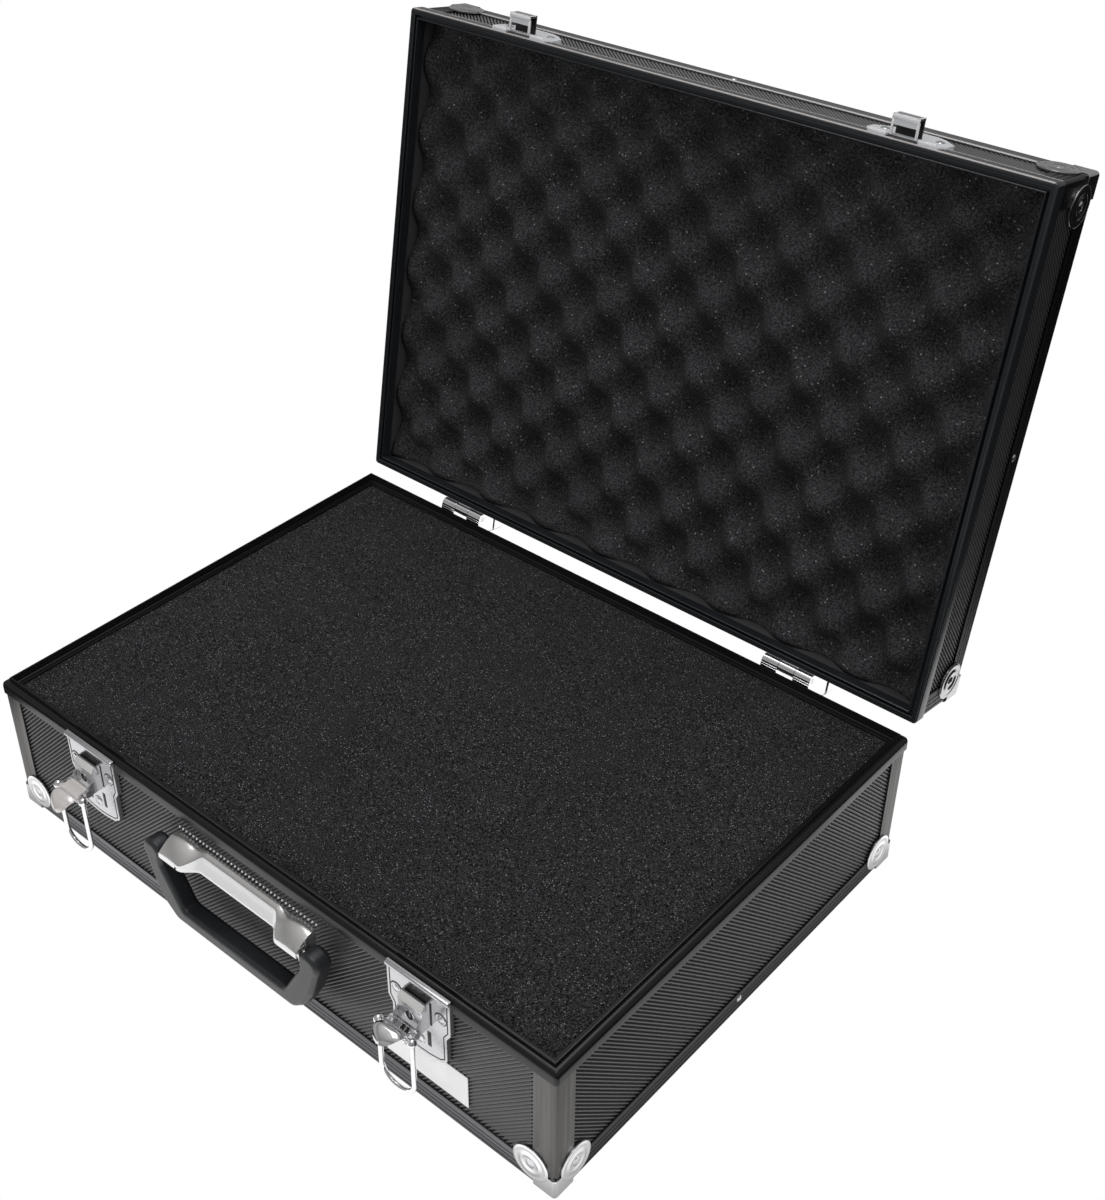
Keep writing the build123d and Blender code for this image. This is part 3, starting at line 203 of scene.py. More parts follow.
# For each outward side: the axes of a sheet's width, height and depth there, the sense of
# inward along the last, and the turn that faces a flat sheet outward.
UPRIGHT = Matrix.Rotation(math.pi / 2, 4, "X")
FACINGS = {
    "front": (0, 2, 1, 1.0, UPRIGHT),
    "back": (0, 2, 1, -1.0, Matrix.Rotation(math.pi, 4, "Z") @ UPRIGHT),
    "left": (1, 2, 0, 1.0, Matrix.Rotation(-math.pi / 2, 4, "Z") @ UPRIGHT),
    "right": (1, 2, 0, -1.0, Matrix.Rotation(math.pi / 2, 4, "Z") @ UPRIGHT),
    "under": (0, 1, 2, 1.0, Matrix.Rotation(math.pi, 4, "X")),
    "top": (0, 1, 2, -1.0, Matrix.Identity(4)),
}
LID_TURN = math.radians(-100.0)
lid_pivot = Vector(next(j for j in frame["joints"] if j["name"] == "lid_hinge")["pos_m"])
open_lid = (
    Matrix.Translation(lid_pivot) @ Matrix.Rotation(LID_TURN, 4, "X") @ Matrix.Translation(-lid_pivot)
)


def make_surface_group():
    """Group: mottles a colour and a roughness with a fine grain, and gives the grain's normal."""
    group = bpy.data.node_groups.new("mottled_surface", "ShaderNodeTree")
    for label, kind, value in (
        ("Color", "NodeSocketColor", (0.5, 0.5, 0.5, 1.0)),
        ("Second Color", "NodeSocketColor", (0.4, 0.4, 0.4, 1.0)),
        ("Roughness", "NodeSocketFloat", 0.4),
        ("Roughness Range", "NodeSocketFloat", 0.1),
        ("Grain Scale", "NodeSocketFloat", 400.0),
        ("Patch Scale", "NodeSocketFloat", 30.0),
        ("Grain Depth", "NodeSocketFloat", 0.0001),
        ("Stretch", "NodeSocketVector", (1.0, 1.0, 1.0)),
    ):
        socket = group.interface.new_socket(label, in_out="INPUT", socket_type=kind)
        socket.default_value = value
    for label, kind in (("Color", "NodeSocketColor"), ("Roughness", "NodeSocketFloat"),
                        ("Normal", "NodeSocketVector")):
        group.interface.new_socket(label, in_out="OUTPUT", socket_type=kind)
    nodes = group.nodes
    inside = nodes.new("NodeGroupInput")
    out = nodes.new("NodeGroupOutput")
    place = nodes.new("ShaderNodeTexCoord")
    mapping = nodes.new("ShaderNodeMapping")
    grain = nodes.new("ShaderNodeTexNoise")
    patch = nodes.new("ShaderNodeTexNoise")
    for texture in (grain, patch):
        texture.inputs["Detail"].default_value = 3.0
    blend = nodes.new("ShaderNodeMix")
    blend.data_type = "RGBA"
    sharpen = nodes.new("ShaderNodeMapRange")
    sharpen.inputs["From Min"].default_value = 0.3
    sharpen.inputs["From Max"].default_value = 0.7
    bump = nodes.new("ShaderNodeBump")
    centred = math_node(group, "SUBTRACT", grain.outputs["Fac"], 0.5)
    rough = math_node(
        group, "MULTIPLY_ADD", centred, inside.outputs["Roughness Range"], inside.outputs["Roughness"])
    group.links.new(rough, out.inputs["Roughness"])
    link_up(group, (place, "Object", mapping, "Vector"), (inside, "Stretch", mapping, "Scale"),
            (mapping, "Vector", grain, "Vector"), (mapping, "Vector", patch, "Vector"),
            (inside, "Grain Scale", grain, "Scale"), (inside, "Patch Scale", patch, "Scale"),
            (patch, "Fac", sharpen, "Value"), (sharpen, "Result", blend, "Factor"),
            (inside, "Color", blend, "A"), (inside, "Second Color", blend, "B"),
            (grain, "Fac", bump, "Height"), (inside, "Grain Depth", bump, "Distance"),
            (blend, "Result", out, "Color"), (bump, "Normal", out, "Normal"))
    return group


surface_group = make_surface_group()


def finish_material(name, color, second, roughness, spread, grain, patch, depth,
                    stretch=(1.0, 1.0, 1.0), **sockets):
    """A material whose colour, roughness and normal come from the mottled surface group."""
    paint = bpy.data.materials.new(name)
    paint.use_nodes = True
    tree = paint.node_tree
    shader = tree.nodes["Principled BSDF"]
    effect = tree.nodes.new("ShaderNodeGroup")
    effect.node_tree = surface_group
    for label, value in (("Color", (*color, 1.0)), ("Second Color", (*second, 1.0)),
                         ("Roughness", roughness), ("Roughness Range", spread), ("Grain Scale", grain),
                         ("Patch Scale", patch), ("Grain Depth", depth), ("Stretch", stretch)):
        effect.inputs[label].default_value = value
    link_up(tree, (effect, "Color", shader, "Base Color"), (effect, "Roughness", shader, "Roughness"),
            (effect, "Normal", shader, "Normal"))
    for socket, value in sockets.items():
        shader.inputs[socket.replace("_", " ")].default_value = value
    return paint


def dress(nodes, paint):
    """Gives a finish to nodes that keep their own shape."""
    for node in nodes:
        mesh = frame["nodes"][node].data
        mesh.materials.clear()
        mesh.materials.append(paint)


def add_piece(bm, name, body, paint, sharp_angle=35.0):
    """Turns a finished bmesh into a piece with smooth faces and sharp creases."""
    bmesh.ops.recalc_face_normals(bm, faces=bm.faces)
    limit = math.radians(sharp_angle)
    for edge in bm.edges:
        edge.smooth = len(edge.link_faces) == 2 and edge.calc_face_angle(0.0) < limit
    for face in bm.faces:
        face.smooth = True
    mesh = bpy.data.meshes.new(name)
    bm.to_mesh(mesh)
    bm.free()
    piece = bpy.data.objects.new(name, mesh)
    bpy.context.scene.collection.objects.link(piece)
    mesh.materials.append(paint)
    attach(piece, body)
    return piece


RIB_GRAIN = {"grain": 900.0, "patch": 12.0, "depth": 0.00003}
# A lighter copy of the black sheet, a painted highlight for the lid's front panel.
ribbed_painted_light = finish_material(
    "ribbed_painted_light", (0.135, 0.130, 0.130), (0.112, 0.108, 0.108), 0.40, 0.12, **RIB_GRAIN,
    Specular_IOR_Level=0.6)
ribbed_black = finish_material(
    "ribbed_black", (0.064, 0.064, 0.066), (0.054, 0.054, 0.056), 0.36, 0.12, **RIB_GRAIN,
    Specular_IOR_Level=0.6)
# Painted shade for the steep flank of each rib.
rib_painted_shade = finish_material(
    "rib_painted_shade", (0.048, 0.048, 0.048), (0.038, 0.038, 0.038), 0.6, 0.1, **RIB_GRAIN,
    Specular_IOR_Level=0.15)
# Near-black for painted shade: the shadow strips where ribs end, and both rib flanks on the lid's front
# panel.
painted_rib_shade_black = finish_material(
    "painted_rib_shade_black", (0.004, 0.004, 0.004), (0.003, 0.003, 0.003), 0.7, 0.1, grain=300.0, patch=30.0,
    depth=0.00001, Specular_IOR_Level=0.2)


def only_verts(geometry):
    """The vertices among the things that an operator made."""
    return [item for item in geometry if isinstance(item, bmesh.types.BMVert)]


def close_holes(bm):
    """Fills every open border of a shape with one face and gives those faces."""
    border = [edge for edge in bm.edges if edge.is_boundary]
    return bmesh.ops.holes_fill(bm, edges=border, sides=0)["faces"]


def close_below(bm, level):
    """Carries a sheet's border down to one level and closes the shape there."""
    border = [edge for edge in bm.edges if edge.is_boundary]
    for vertex in only_verts(bmesh.ops.extrude_edge_only(bm, edges=border)["geom"]):
        vertex.co.z = level
    return close_holes(bm)


def raise_lid(bm):
    """Turns a shape that was built on the shut lid to where the open lid stands."""
    bmesh.ops.transform(bm, matrix=open_lid, verts=bm.verts)


def closed_box(node):
    """The low and high corners of a node of the lid, as they are when the lid is shut."""
    shut = open_lid.inverted()
    corners = [shut @ v.co for v in frame["nodes"][node].data.vertices]
    return [Vector(end(c[i] for c in corners) for i in range(3)) for end in (min, max)]


def ribbed_sheet(width, height, lean, both_sides):
    """A flat board about the origin with ribs on its +Z face. lean is the angle of the ribs.
    The steep flank of each rib takes the second material, a painted shade; both_sides paints
    that shade on both flanks of a rib and not one."""
    count = int((width + height) / math.sqrt(2.0) / RIB_PITCH) + 2
    steps = len(RIB_STEPS)
    reach = count * RIB_PITCH / 2.0
    bm = bmesh.new()
    bmesh.ops.create_grid(bm, x_segments=count * steps, y_segments=1, size=1.0)
    bmesh.ops.scale(bm, vec=(reach, width + height, 1.0), verts=bm.verts)
    for vertex in bm.verts:
        step = round((vertex.co.x + reach) / RIB_PITCH * steps)
        vertex.co.z = RIB_HEIGHT * (RIB_STEPS[step % steps] - 1.0)
    # Faces on the steep flank, or on both flanks, get the painted shade.
    for face in bm.faces:
        share = (face.calc_center_median().x + reach) / RIB_PITCH % 1.0
        dark = share > 1.0 - 1.0 / steps or (both_sides and share < 1.0 / steps)
        face.material_index = 1 if dark else 0
    bmesh.ops.rotate(bm, verts=bm.verts, matrix=Matrix.Rotation(lean - math.pi / 2.0, 3, "Z"))
    for axis, size in ((Vector((1, 0, 0)), width), (Vector((0, 1, 0)), height)):
        for sign in (-1.0, 1.0):
            bmesh.ops.bisect_plane(
                bm, geom=bm.verts[:] + bm.edges[:] + bm.faces[:], plane_co=axis * sign * size / 2.0,
                plane_no=axis * sign, clear_outer=True)
    for face in close_below(bm, -PANEL_DEPTH):
        face.material_index = 0
    return bm


def place_panel(node, facing, lean):
    """Puts a ribbed sheet on the outer face of one panel. facing is its outward side."""
    half = node.split("_")[0]
    across, up, depth, inward, turned = FACINGS[facing]
    low, high = closed_box(node) if half == "lid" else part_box(node)
    PANEL_BOXES[node] = (low, high)
    size = high - low
    centre = (low + high) / 2.0
    centre[depth] = (low if inward > 0.0 else high)[depth]
    # The lid's front panel is painted lighter, with painted shade on both flanks of its ribs.
    painted_light_panel = node == "lid_panel_front"
    bm = ribbed_sheet(size[across], size[up], lean, painted_light_panel)
    move = Matrix.Translation(centre) @ turned
    bmesh.ops.transform(bm, matrix=open_lid @ move if half == "lid" else move, verts=bm.verts)
    paint = ribbed_painted_light if painted_light_panel else ribbed_black
    piece = add_piece(bm, node.replace("panel", "ribbed"), half, paint)
    piece.data.materials.append(painted_rib_shade_black if painted_light_panel else rib_painted_shade)
    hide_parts(node)


def shadow_border(node, facing):
    """A black strip round a panel's opening, painted shadow where the ribs end, which the crests of the
    ribs run up through.
    """
    half = node.split("_")[0]
    across, up, depth, inward, _ = FACINGS[facing]
    long_half, wide_half = HALF_LONG - EDGE_COVER, HALF_WIDE - EDGE_COVER
    start = (-long_half, -wide_half + case_shift, OPENINGS[half][0])
    end = (long_half, wide_half + case_shift, OPENINGS[half][1])
    low, high = PANEL_BOXES[node]
    face = (low if inward > 0.0 else high)[depth]
    bm = bmesh.new()
    for axis, other in ((across, up), (up, across)):
        for edge, sense in ((start, 1.0), (end, -1.0)):
            size, place = Vector((0.0, 0.0, 0.0)), Vector((0.0, 0.0, 0.0))
            size[axis] = end[axis] - start[axis]
            place[axis] = (end[axis] + start[axis]) / 2.0
            size[other] = SHADOW_STRIP_WIDTH
            place[other] = edge[other] + sense * SHADOW_STRIP_WIDTH / 2.0
            size[depth] = RIB_HEIGHT
            place[depth] = face + inward * (SHADOW_STRIP_SINK + RIB_HEIGHT / 2.0)
            bmesh.ops.create_cube(
                bm, size=1.0, matrix=Matrix.Translation(place) @ Matrix.Diagonal((*size, 1.0)))
    if half == "lid":
        raise_lid(bm)
    # Each piece is a painted shadow strip.
    add_piece(bm, node.replace("panel", "lip"), half, painted_rib_shade_black)


for side, lean in (("front", RISING), ("back", RISING), ("left", FALLING), ("right", FALLING),
                   ("flat", RISING)):
    base_facing, lid_facing = ("under", "top") if side == "flat" else (side, side)
    place_panel("base_panel_" + side, base_facing, lean)
    place_panel("lid_panel_" + side, lid_facing, math.pi - lean)
    shadow_border("base_panel_" + side, base_facing)
    shadow_border("lid_panel_" + side, lid_facing)

# --- Edge angles and corner posts -----------------------------------------------------------
# Fluted aluminium angle, anodised a dark grey-brown and brushed along its length. It wraps
# each edge of the two halves and is riveted through the panels.
SIDES = ("front", "back", "left", "right")
POST_STEPS, POST_RADIUS, POST_FLUTE, POST_GROOVE, POST_WALL = 72, 2.4, 0.10, 3.4, 0.0009
POST_CORNER = POST_RADIUS * math.pi / 4.0
POST_REACH = POST_CORNER + 15.0 - POST_RADIUS
POST_FACE_X, POST_FACE_Y = 229.0, 164.0
POST_FOOT, POST_TOP = 0.0150, 0.0950


def brushed(name, axis, color, second, roughness):
    """Brushed metal whose fine lines run along one axis."""
    stretch = [14.0, 14.0, 14.0]
    stretch[axis] = 0.35
    return finish_material(name, color, second, roughness, 0.22, grain=90.0, patch=14.0, depth=0.00002,
                           stretch=tuple(stretch), Metallic=1.0)


def merge_into(bm, part):
    """Moves one bmesh's shape into another."""
    holder = bpy.data.meshes.new("part")
    part.to_mesh(holder)
    part.free()
    bm.from_mesh(holder)
    bpy.data.meshes.remove(holder)


def corner_post(bm, side_x, side_y):
    """A folded angle with a rounded corner and shallow flutes, standing at one corner."""
    part = bmesh.new()
    bmesh.ops.create_grid(part, x_segments=POST_STEPS, y_segments=1, size=1.0)
    for vertex in part.verts:
        along = vertex.co.x * POST_REACH
        turn = max(-1.0, min(1.0, along / POST_CORNER)) * math.pi / 4.0
        straight = max(0.0, abs(along) - POST_CORNER)
        groove = math.cos(2.0 * math.pi * (abs(along) - POST_GROOVE / 2.0) / POST_GROOVE)
        flute = POST_FLUTE * max(0.0, groove) ** 6
        inset_x = POST_RADIUS * (1.0 - math.sin(math.pi / 4.0 + turn)) + (straight if along < 0 else 0.0)
        inset_y = POST_RADIUS * (1.0 - math.cos(math.pi / 4.0 + turn)) + (straight if along > 0 else 0.0)
        if straight > 0.0:
            inset_x += flute if along > 0 else 0.0
            inset_y += flute if along < 0 else 0.0
        vertex.co = Vector((side_x * (POST_FACE_X - inset_x) * 0.001,
                            case_shift + side_y * (POST_FACE_Y - inset_y) * 0.001,
                            POST_TOP if vertex.co.y > 0 else POST_FOOT))
    bmesh.ops.recalc_face_normals(part, faces=part.faces)
    middle = sum((face.normal for face in part.faces), Vector())
    if middle.x * side_x + middle.y * side_y < 0.0:
        bmesh.ops.reverse_faces(part, faces=part.faces)
    bmesh.ops.solidify(part, geom=part.faces[:], thickness=POST_WALL)
    merge_into(bm, part)


# Each set of edges wears its own copy of the one finish, lighter or darker as painted light and shade: the
# front and back edges lightest, the lid's side edges darkest.
angle_x_painted_light = brushed("anodised_angle_x_painted_light", 0, (0.30, 0.30, 0.315), (0.19, 0.19, 0.20), 0.40)
angle_y_painted_shade = brushed("anodised_angle_y_painted_shade", 1, (0.062, 0.060, 0.058), (0.042, 0.041, 0.040), 0.40)
angle_z_painted_shade = brushed("anodised_angle_z_painted_shade", 2, (0.145, 0.140, 0.136), (0.085, 0.082, 0.079), 0.40)
angle_lid_painted_shade = brushed("anodised_angle_lid", 2, (0.022, 0.022, 0.021), (0.015, 0.015, 0.015), 0.42)
dress(["base_edge_front", "base_edge_back", "lid_edge_front", "lid_edge_back"], angle_x_painted_light)
dress(["base_edge_left", "base_edge_right", "lid_corner_posts"], angle_y_painted_shade)
dress(["lid_edge_left", "lid_edge_right"], angle_lid_painted_shade)
bm = bmesh.new()
for side_x in (-1.0, 1.0):
    for side_y in (-1.0, 1.0):
        corner_post(bm, side_x, side_y)
posts = add_piece(bm, "bent_posts", "base", angle_z_painted_shade)
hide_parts("base_corner_posts")

# --- Rims -----------------------------------------------------------------------------------
# Black anodised aluminium extrusions with a rounded outer edge. The base carries a tongue that
# enters the groove of the lid.
BASE_RIM = ((0.0, -8.5), (0.0, -3.6), (0.14, -2.5), (0.55, -1.5), (1.25, -0.7), (2.2, -0.2), (3.2, 0.0),
            (4.3, -0.05), (4.3, 2.2), (4.45, 2.5), (4.85, 2.6), (5.25, 2.5), (5.4, 2.2), (5.4, 0.0),
            (5.9, -0.1), (6.1, -2.2), (6.6, -2.6), (9.1, -2.6), (9.4, -2.9), (9.4, -4.4), (6.0, -4.5),
            (6.0, -8.6))
LID_RIM = ((0.0, 8.5), (0.0, 0.9), (0.1, 0.5), (0.3, 0.2), (0.6, 0.05), (1.0, 0.0), (2.1, 0.0),
           (2.25, 0.35), (2.5, 0.35), (2.65, 0.0), (3.6, 0.0), (3.95, 0.3), (3.95, 3.4), (5.75, 3.4),
           (5.75, 0.3), (6.0, 0.0), (6.5, 0.0), (6.75, 0.3), (6.75, 4.4), (6.0, 4.6), (6.0, 8.6))
RIM_CORNER, CORNER_STEPS = 2.6, 7
BASE_PARTING, LID_PARTING = 0.1015, 0.1018
WELD = 0.000002


def rim_ring(profile, parting):
    """Carries a profile of (inset, height) in millimetres round the case, as one closed ring."""
    bm = bmesh.new()
    path = []
    for quarter in range(4):
        for step in range(CORNER_STEPS + 1):
            path.append((quarter, (quarter + step / CORNER_STEPS) * math.pi / 2.0))
    rows = len(profile)
    bmesh.ops.create_grid(bm, x_segments=len(path), y_segments=rows, size=1.0)
    for vertex in bm.verts:
        column = round((vertex.co.x + 1.0) / 2.0 * len(path)) % len(path)
        row = round((vertex.co.y + 1.0) / 2.0 * rows) % rows
        inset, height = profile[row]
        quarter, angle = path[column]
        side_x = 1.0 if quarter in (0, 3) else -1.0
        side_y = 1.0 if quarter in (0, 1) else -1.0
        reach = max(RIM_CORNER, inset)
        radius = reach - inset
        x = side_x * (HALF_LONG * 1000.0 - reach) + radius * math.cos(angle)
        y = side_y * (HALF_WIDE * 1000.0 - reach) + radius * math.sin(angle)
        vertex.co = Vector((x * 0.001, y * 0.001 + case_shift, parting + height * 0.001))
    bmesh.ops.remove_doubles(bm, verts=bm.verts, dist=WELD)
    return bm


rim_black = finish_material(
    "rim_black", (0.008, 0.008, 0.009), (0.005, 0.005, 0.006), 0.27, 0.1, grain=160.0, patch=10.0,
    depth=0.00001, Specular_IOR_Level=0.34)
# The lid's rim is a lighter, bluish copy of the black anodising: a painted reflection.
lid_rim_painted_sheen = finish_material(
    "lid_rim_painted_sheen", (0.0165, 0.0180, 0.0210), (0.0130, 0.0145, 0.0170), 0.22, 0.1, grain=160.0, patch=10.0,
    depth=0.00001, Specular_IOR_Level=0.75)
base_ring = add_piece(rim_ring(BASE_RIM, BASE_PARTING), "base_rim_ring", "base", rim_black)
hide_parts(*["base_rim_" + side for side in SIDES])
bm = rim_ring(LID_RIM, LID_PARTING)
raise_lid(bm)
lid_ring = add_piece(bm, "lid_rim_ring", "lid", lid_rim_painted_sheen)
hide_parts(*["lid_rim_" + side for side in SIDES])

# --- Corner caps ----------------------------------------------------------------------------
# Pressed from thin steel and chrome plated: three round lobes, each held by one rivet and
# pressed with a bead and a raised outer ring. The lid's caps wear a darker copy of the chrome,
# a painted shade for the dark things that they reflect.
CAP_BEAD = (
    (3.3, -0.3), (3.3, 0.12), (4.4, 0.14), (5.2, 0.5), (6.1, 0.72), (7.0, 0.5), (7.8, 0.12), (9.3, 0.1),
    (10.2, 0.34), (11.2, 0.34), (11.8, 0.0), (11.8, -0.3))
LOBE_INSET, LID_CREST = 0.017, 0.155
SHARP_EDGE = math.radians(32.0)


def softened(node, body, paint, width):
    """A copy of a CAD node's shape whose sharp edges are rounded a little, worn in its place."""
    bm = bmesh.new()
    bm.from_mesh(frame["nodes"][node].data)
    bmesh.ops.remove_doubles(bm, verts=bm.verts, dist=WELD)
    bmesh.ops.dissolve_limit(
        bm, angle_limit=math.radians(1.0), verts=bm.verts, edges=bm.edges, use_dissolve_boundaries=False)
    creases = [edge for edge in bm.edges
               if len(edge.link_faces) == 2 and edge.calc_face_angle(0.0) > SHARP_EDGE]
    bmesh.ops.bevel(bm, geom=creases, offset=width, segments=2, profile=0.5, affect="EDGES",
                    clamp_overlap=True, material=-1)
    piece = add_piece(bm, "soft_" + node, body, paint, sharp_angle=20.0)
    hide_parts(node)
    return piece


def pressed_ring(bm, profile, centre, normal, steps=40):
    """Spins a ring's profile, in millimetres, about a point and stands it on a face."""
    ring = bmesh.new()
    loop = [ring.verts.new((radius * 0.001, 0.0, height * 0.001)) for radius, height in profile]
    edges = [ring.edges.new((loop[i - 1], loop[i])) for i in range(len(loop))]
    bmesh.ops.spin(ring, geom=loop + edges, cent=(0, 0, 0), axis=(0, 0, 1), angle=2 * math.pi, steps=steps,
                   use_merge=True)
    bmesh.ops.remove_doubles(ring, verts=ring.verts, dist=0.000001)
    turn_to = Vector((0, 0, 1)).rotation_difference(Vector(normal)).to_matrix().to_4x4()
    bmesh.ops.transform(ring, matrix=Matrix.Translation(centre) @ turn_to, verts=ring.verts)
    merge_into(bm, ring)


CHROME = {"grain": 300.0, "patch": 60.0, "depth": 0.000006, "Metallic": 1.0}
polished_chrome = finish_material(
    "polished_chrome", (0.90, 0.90, 0.91), (0.84, 0.84, 0.86), 0.10, 0.06, **CHROME)
cap_chrome = finish_material("cap_chrome", (0.93, 0.93, 0.94), (0.88, 0.88, 0.89), 0.20, 0.08, **CHROME)
# Painted shade: a darker copy of the cap chrome for the lid.
lid_cap_chrome_painted_shade = finish_material(
    "lid_cap_chrome_painted_shade", (0.55, 0.55, 0.56), (0.48, 0.48, 0.49), 0.16, 0.08, **CHROME)
for half, lobe_height, paint in (("base", LOBE_INSET, cap_chrome),
                                 ("lid", LID_CREST - LOBE_INSET, lid_cap_chrome_painted_shade)):
    bm = bmesh.new()
    for left_right in (-1.0, 1.0):
        for front_back in (-1.0, 1.0):
            across = left_right * (HALF_LONG - LOBE_INSET)
            back = front_back * (HALF_WIDE - LOBE_INSET)
            pressed_ring(bm, CAP_BEAD, (across, front_back * HALF_WIDE + case_shift, lobe_height),
                         (0, front_back, 0))
            pressed_ring(bm, CAP_BEAD, (left_right * HALF_LONG, back + case_shift, lobe_height),
                         (left_right, 0, 0))
            if half == "lid":
                pressed_ring(bm, CAP_BEAD, (across, back + case_shift, LID_CREST), (0, 0, 1))
    if half == "lid":
        raise_lid(bm)
    add_piece(bm, half + "_cap_beads", half, paint)
    softened(half + "_corner_caps", half, paint, 0.0003)

# --- Rivets and pins ------------------------------------------------------------------------
# Domed steel rivets through every fitting, and the turned pins of the hinges, levers and
# handle. All are plated like the fittings that they hold.
rivet_metal = finish_material(
    "rivet_metal", (0.80, 0.80, 0.81), (0.60, 0.60, 0.62), 0.16, 0.12, grain=500.0, patch=200.0,
    depth=0.00001, Metallic=1.0)
dress(["base_cap_rivets", "base_rivets", "lid_cap_rivets", "lid_rivets", "handle_pivots",
       "latch_lever_pins", "hinge_pins"], rivet_metal)

# --- Foam in the base -----------------------------------------------------------------------
# One block of charcoal open-cell foam that lies loose in the base. It is cut a little full,
# so that its top edges roll over against the walls.
FOAM_TRIM, FOAM_SINK, FOAM_WAVE = 0.0015, 0.0004, 0.0004
FOAM_ROUND, FOAM_ROLL, FOAM_TUCK, FOAM_RIPPLES = 0.005, 0.0022, 0.0005, 22.0


def noise_detail(tree, place, scale, detail):
    """A noise texture on Object coordinates."""
    texture = tree.nodes.new("ShaderNodeTexNoise")
    texture.inputs["Scale"].default_value = scale
    texture.inputs["Detail"].default_value = detail
    link_up(tree, (place, "Object", texture, "Vector"))
    return texture


def foam_material(name, dark, light, cell, speck, bump_depth, share):
    """Open-cell foam: tiny pores that are painted dark inside, a painted shade that follows the low places
    of the bump, and sparse light specks, painted highlights where their edges catch light.
    """
    paint = bpy.data.materials.new(name)
    paint.use_nodes = True
    tree = paint.node_tree
    shader = tree.nodes["Principled BSDF"]
    place = tree.nodes.new("ShaderNodeTexCoord")
    fine = noise_detail(tree, place, cell, 4.0)
    broad = noise_detail(tree, place, 22.0, 3.0)
    pores = tree.nodes.new("ShaderNodeTexVoronoi")
    pores.inputs["Scale"].default_value = speck
    glints = tree.nodes.new("ShaderNodeTexVoronoi")
    glints.inputs["Scale"].default_value = cell
    ramp = tree.nodes.new("ShaderNodeValToRGB")
    for stop, position, color in zip(ramp.color_ramp.elements, (0.40, 0.74), (dark, light)):
        stop.position = position
        stop.color = (*color, 1.0)
    shade = tree.nodes.new("ShaderNodeMix")
    shade.data_type = "RGBA"
    shade.blend_type = "MULTIPLY"
    shade.inputs["Factor"].default_value = 0.35
    # Sparse light grey specks: painted highlights.
    painted_glint = tree.nodes.new("ShaderNodeMix")
    painted_glint.data_type = "RGBA"
    painted_glint.inputs["B"].default_value = (0.26, 0.26, 0.27, 1.0)
    pick = tree.nodes.new("ShaderNodeSeparateColor")
    bump = tree.nodes.new("ShaderNodeBump")
    bump.inputs["Distance"].default_value = bump_depth
    rare = math_node(tree, "GREATER_THAN", pick.outputs["Red"], 1.0 - share)
    small = math_node(tree, "LESS_THAN", glints.outputs["Distance"], 0.42)
    tree.links.new(math_node(tree, "MULTIPLY", rare, small), painted_glint.inputs["Factor"])
    height = math_node(tree, "ADD", fine.outputs["Fac"], pores.outputs["Distance"])
    tree.links.new(height, bump.inputs["Height"])
    link_up(tree, (place, "Object", pores, "Vector"), (place, "Object", glints, "Vector"),
            (glints, "Color", pick, "Color"), (fine, "Fac", ramp, "Fac"), (ramp, "Color", shade, "A"),
            (broad, "Fac", shade, "B"), (shade, "Result", painted_glint, "A"),
            (painted_glint, "Result", shader, "Base Color"), (bump, "Normal", shader, "Normal"))
    shader.inputs["Roughness"].default_value = 1.0
    shader.inputs["Specular IOR Level"].default_value = 0.15
    return paint


def edge_roll(gap):
    """How far the foam's edge rolls over, at a distance from that edge."""
    return FOAM_ROLL * max(0.0, 1.0 - gap / FOAM_ROUND) ** 2


flat_foam = foam_material(
    "flat_foam", (0.004, 0.004, 0.005), (0.100, 0.101, 0.105), 1250.0, 1800.0, 0.0005, 0.05)
foam_low, foam_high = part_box("base_foam")
bm = bmesh.new()
bmesh.ops.create_grid(bm, x_segments=120, y_segments=84, size=1.0)
half_x = foam_high.x - FOAM_TRIM
half_y = (foam_high.y - foam_low.y) / 2.0 - FOAM_TRIM
middle_y = (foam_low.y + foam_high.y) / 2.0
for vertex in bm.verts:
    x, y = vertex.co.x * half_x, vertex.co.y * half_y
    edge_gap = min(half_x - abs(x), half_y - abs(y))
    wave = noise.noise(Vector((x * FOAM_RIPPLES, y * FOAM_RIPPLES, 0.3))) * FOAM_WAVE
    vertex.co = Vector((x, y + middle_y, foam_high.z - FOAM_SINK + wave - edge_roll(edge_gap)))
close_below(bm, foam_low.z + FOAM_TUCK)
foam_block = add_piece(bm, "foam_block", "base", flat_foam)
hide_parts("base_foam")

# --- Egg-crate foam in the lid --------------------------------------------------------------
# Convoluted sheet of grey open-cell foam, glued into the lid: rows of soft peaks and round
# pits, cut to fit inside the lid's lip and squeezed flatter along its rim.
CRATE_PITCH_X, CRATE_PITCH_Y = 0.0505, 0.0480
CRATE_PIT_X, CRATE_PIT_V = -0.2010, 0.2950
CRATE_DEPTH, CRATE_WOBBLE, CRATE_LIFT, CRATE_SPREAD = 0.0205, 0.0012, 0.0035, 0.0004
CRATE_LOWEST, CRATE_RIM, CRATE_RIM_SHARE, CRATE_RIPPLES = 0.030, 0.012, 0.40, 30.0
crate_foam = foam_material(
    "crate_foam", (0.022, 0.022, 0.024), (0.100, 0.101, 0.106), 800.0, 1200.0, 0.0006, 0.02)
crate_low, crate_high = closed_box("lid_foam")
bm = bmesh.new()
bmesh.ops.create_grid(bm, x_segments=190, y_segments=134, size=1.0)
half_x = crate_high.x + CRATE_SPREAD
half_y = (crate_high.y - crate_low.y) / 2.0 + CRATE_SPREAD
middle_y = (crate_low.y + crate_high.y) / 2.0
